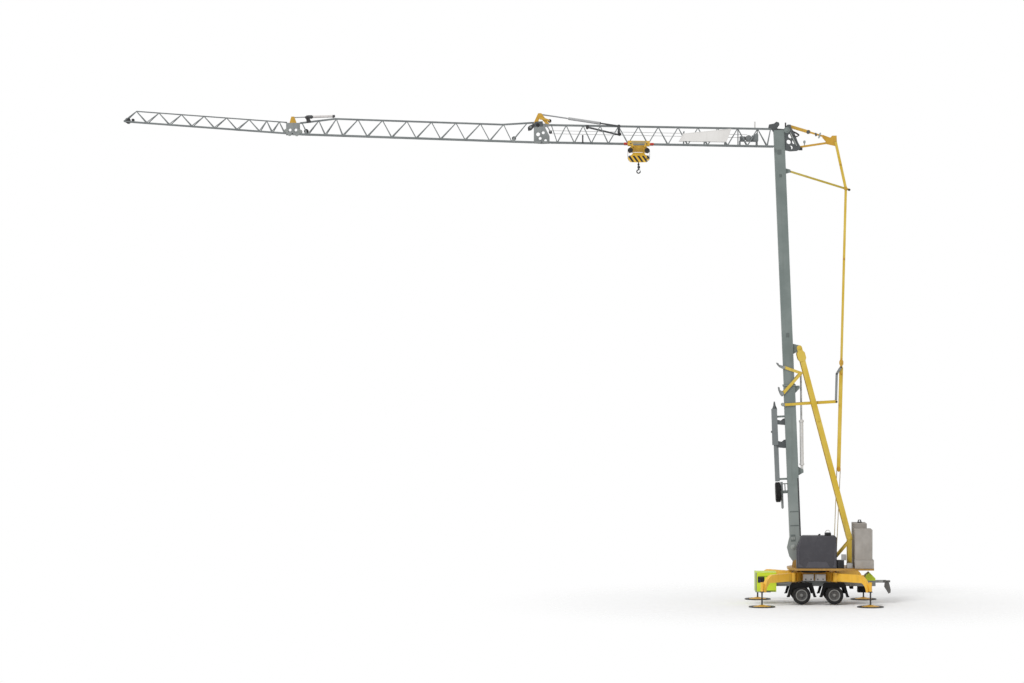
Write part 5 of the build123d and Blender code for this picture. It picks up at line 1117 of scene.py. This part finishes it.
for x, z0, z1 in ((-3.14, 18.96, 19.68), (-2.34, 18.95, 19.66)):
    posts += bar_run([(x, 0, z0), (x, 0, z1)], 0.022)
fit(posts, "winch_posts", "jib", jib_paint)
mark = chest((-2.47, -0.035, 19.68), (-2.41, 0.035, 19.97), 0.008)
fit(mark, "top_post", "jib", pale_paint)
foot = chest((-9.6, -0.455, 19.1), (-9.54, -0.405, 19.41), 0.008)
fit(foot, "chord_post", "jib", dark_paint)

# Trolley: a yellow plate carriage that hangs from rollers on the lower chords.
# It has grooved dark sheaves, turned bosses, steel wear plates, nuts on its axles and red rubber sleeves
# on its four buffers.
TROLLEY_T = 5.598
SHEAVE_DROP, SHEAVE_OFFSET, SHEAVE_R = 0.261, 0.35, 0.095
middle = on_root(TROLLEY_T, 0)


def worn_rail(place):
    along = place.split("X").within(middle.x - 0.3, middle.x + 0.3)
    return along * place.split("Z").within(middle.z + 0.015, middle.z + 0.1)


worn = (worn_rail, (158, 144, 106))
trolley_paint = machine_paint("trolley_paint", (200, 153, 38), (210, 168, 66), soiling=0.28, patch=worn)
buffer_red = moulded_plastic("buffer_red", (178, 44, 38), (150, 60, 52), 0.6)
coat(trolley_paint, "trolley")


def grooved(p):
    """Two flanges that stand up beside the rope on a sheave."""
    rim = [(0.011, 0.0952), (0.015, 0.0985), (0.034, 0.0985), (0.039, 0.09)]
    return knobs(p.x, 0, p.z, rim + [(0.039, 0.045), (0.042, 0.04)], 32)


SHEAVE_CAP = [(0.083, 0.104), (0.09, 0.108), (0.096, 0.1), (0.096, 0.06), (0.104, 0.05), (0.108, 0.04)]
BOSS = [(0.07, 0.112), (0.09, 0.116), (0.097, 0.11), (0.097, 0.075), (0.09, 0.07), (0.09, 0.03), (0.1, 0.025)]
WEAR = (0.48, 0.49, 0.003)
sleeves = []
for s in (-1, 1):
    x0, x1 = sorted((on_root(TROLLEY_T + s * 0.47, 0).x, on_root(TROLLEY_T + s * 0.615, 0).x))
    z = on_root(TROLLEY_T + s * 0.54, 0).z
    sleeves += chests((x0, z - 0.045), (x1, z + 0.045), 0.462, 0.497, 0.012)
fit(sleeves, "trolley_buffers", "trolley", buffer_red)
wear = chests((middle.x - 0.24, middle.z - 0.06), (middle.x + 0.24, middle.z + 0.01), *WEAR)
fit(wear, "trolley_wear_plates", "trolley", jib_paint)
bosses = []
wheels = []
nuts = []
for s in (-1, 1):
    hub = on_root(TROLLEY_T + s * 0.13, -0.2)
    bosses += knobs(hub.x, 0, hub.z, BOSS, 32)
    sheave = on_root(TROLLEY_T + s * SHEAVE_OFFSET, -SHEAVE_DROP)
    wheels += grooved(sheave) + knobs(sheave.x, 0, sheave.z, SHEAVE_CAP, 28)
    axle = on_root(TROLLEY_T + s * 0.33, 0.0)
    for sy in (-1, 1):
        nuts.append(((sheave.x, sy * 0.107, sheave.z), (0, sy, 0), 0.05))
        nuts.append(((axle.x, sy * 0.484, axle.z), (0, sy, 0), 0.045))
fit(bosses, "trolley_bosses", "trolley", lever_paint)
fit(wheels, "trolley_sheaves", "trolley", dark_paint)
fit(bolt_heads(nuts), "trolley_nuts", "trolley", dark_paint)


# Hook block: two yellow cheeks with black slanting stripes, over two grooved sheaves.
# Round bar guards at its ends keep the ropes in the grooves.
def stripes(place):
    slant = (place.split("X") + place.split("Z") * 0.7) * 5.2
    band = place.make("ShaderNodeMath", {"operation": "FRACT"}, {0: slant})
    return (band > 0.48) * (place.split("Z") < 18.56) * (place.split("Z") > 18.3)


warning = (stripes, (30, 30, 32))
block_paint = machine_paint("block_paint", (226, 176, 38), (232, 190, 70), 0.42, 0.25, patch=warning)
coat(block_paint, "hook_block")
hang = on_root(TROLLEY_T, -SHEAVE_DROP)
BLOCK_SHEAVE_Z, CHEEK_Y = 18.455, 0.059
GUARD_BAR = ((-0.12, 18.57), (-0.02, 18.56), (0.02, 18.46), (-0.02, 18.36), (-0.12, 18.34))
wheels = []
guards = []
nuts = []
for s in (-1, 1):
    sheave = Vector((hang.x + s * SHEAVE_OFFSET, 0, BLOCK_SHEAVE_Z))
    wheels += grooved(sheave)
    end = hang.x + s * 0.44
    for sy in (-1, 1):
        nuts.append(((sheave.x, sy * CHEEK_Y, sheave.z), (0, sy, 0), 0.05))
        guards += bar_run([(end + s * d, sy * CHEEK_Y, z) for d, z in GUARD_BAR], 0.009, 8)
fit(wheels, "block_sheaves", "hook_block", dark_paint)
fit(bolt_heads(nuts), "block_nuts", "hook_block", dark_paint)
fit(guards, "block_guards", "hook_block", pale_paint)

# Hook: a forged swivelling hook of dark steel, with a sprung latch at its mouth.
# A round barrel on the shank covers the thrust bearing.
hook_steel = machine_paint("hook_steel", (40, 40, 42), (56, 55, 55), rough=0.45, soiling=0.3)
coat(hook_steel, "hook")
HOOK_Z, BARREL_Z = 17.907, 18.03
LATCH_BAR = ((0.012, 0.1), (0.03, 0.105), (0.086, 0.012), (0.066, 0.006))
BARREL = [(0, 0.03), (0.012, 0.05), (0.03, 0.056), (0.08, 0.056), (0.1, 0.046), (0.11, 0.03)]
latch = plate([(hang.x + a, HOOK_Z + b) for a, b in LATCH_BAR], -0.016, 0.016)
fit(latch, "hook_latch", "hook", rail_paint)
barrel = turned((hang.x, 0, BARREL_Z), UPRIGHT, BARREL)
fit(barrel, "hook_barrel", "hook", hook_steel)

# Hoist falls: four parts of steel rope between the trolley's sheaves and those of the block.
ROPE_R, ROPE_GAP = 0.008, 0.0003
parts = []
for s in (-1, 1):
    top = on_root(TROLLEY_T - s * SHEAVE_OFFSET, -SHEAVE_DROP).z
    for edge in (-1, 1):
        x = hang.x + s * SHEAVE_OFFSET + edge * (SHEAVE_R + ROPE_R + ROPE_GAP)
        parts.append(turned((x, 0, top), (0, 0, -1), [(0, ROPE_R), (top - BLOCK_SHEAVE_Z, ROPE_R)], 10))
rope_parts = fit(parts, "rope_parts", None, rope_steel)
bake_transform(rope_parts)
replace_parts(rope_parts, "hoist_falls")

# Studio: a pale floor that fades into a white surround, one soft sun and an even sky.
# The camera stands far off with a long lens, a little above the middle of the crane.
FLOOR_R = 16.0
bpy.ops.object.select_all(action="DESELECT")
bpy.ops.mesh.primitive_circle_add(vertices=96, radius=FLOOR_R, fill_type="NGON", location=(0, 0, -0.002))
floor = bpy.context.object
floor.name = "floor"
material, place = finish_of("floor", 0.0, 0.1)
tree = material.node_tree
shader = tree.nodes["Principled BSDF"]
shader.inputs["Base Color"].default_value = (0.9, 0.9, 0.9, 1)
shader.inputs["Roughness"].default_value = 0.9
out_from = place.make("ShaderNodeVectorMath", {"operation": "LENGTH"}, {0: place}, "Value")
clear = place.make("ShaderNodeBsdfTransparent")
fade = {0: out_from.step(3.0, FLOOR_R - 1.0), 1: Wire(tree, shader.outputs[0]), 2: clear}
mixed = place.make("ShaderNodeMixShader", {}, fade)
tree.links.new(mixed.socket, tree.nodes["Material Output"].inputs["Surface"])
floor.data.materials.append(material)

world = bpy.data.worlds.new("surround")
bpy.context.scene.world = world
world.use_nodes = True
tree = world.node_tree
background = tree.nodes["Background"]
rays = ("Is Camera Ray", "Is Glossy Ray", "Is Transmission Ray")
seen, gloss, through = [Wire(tree).make("ShaderNodeLightPath", {}, {}, ray) for ray in rays]
seen = seen.sum("MAXIMUM", seen, gloss * 0.55)
seen = seen.sum("MAXIMUM", seen, through)
tree.links.new((0.75 + seen * 0.25).socket, background.inputs["Strength"])
background.inputs["Color"].default_value = (1, 1, 1, 1)

bpy.ops.object.light_add(type="SUN", rotation=(math.radians(50), 0, math.radians(-32)))
sun = bpy.context.object
sun.name = "sun"
sun.data.energy = 1.3
sun.data.angle = math.radians(18)

EYE = (-9.571, -179.645, 13.300)
LENS_PX, IMAGE_WIDTH, SENSOR = 4329.8, 1024, 36.0
YAW, PITCH = 0.935, -0.779
camera = bpy.data.objects.new("camera", bpy.data.cameras.new("camera"))
bpy.context.scene.collection.objects.link(camera)
camera.location = EYE
camera.rotation_euler = (math.radians(90 + PITCH), 0, math.radians(YAW))
camera.data.sensor_width = SENSOR
camera.data.lens = LENS_PX / IMAGE_WIDTH * SENSOR
camera.data.clip_end = 1000.0
bpy.context.scene.camera = camera
bpy.context.scene.view_settings.view_transform = "Standard"
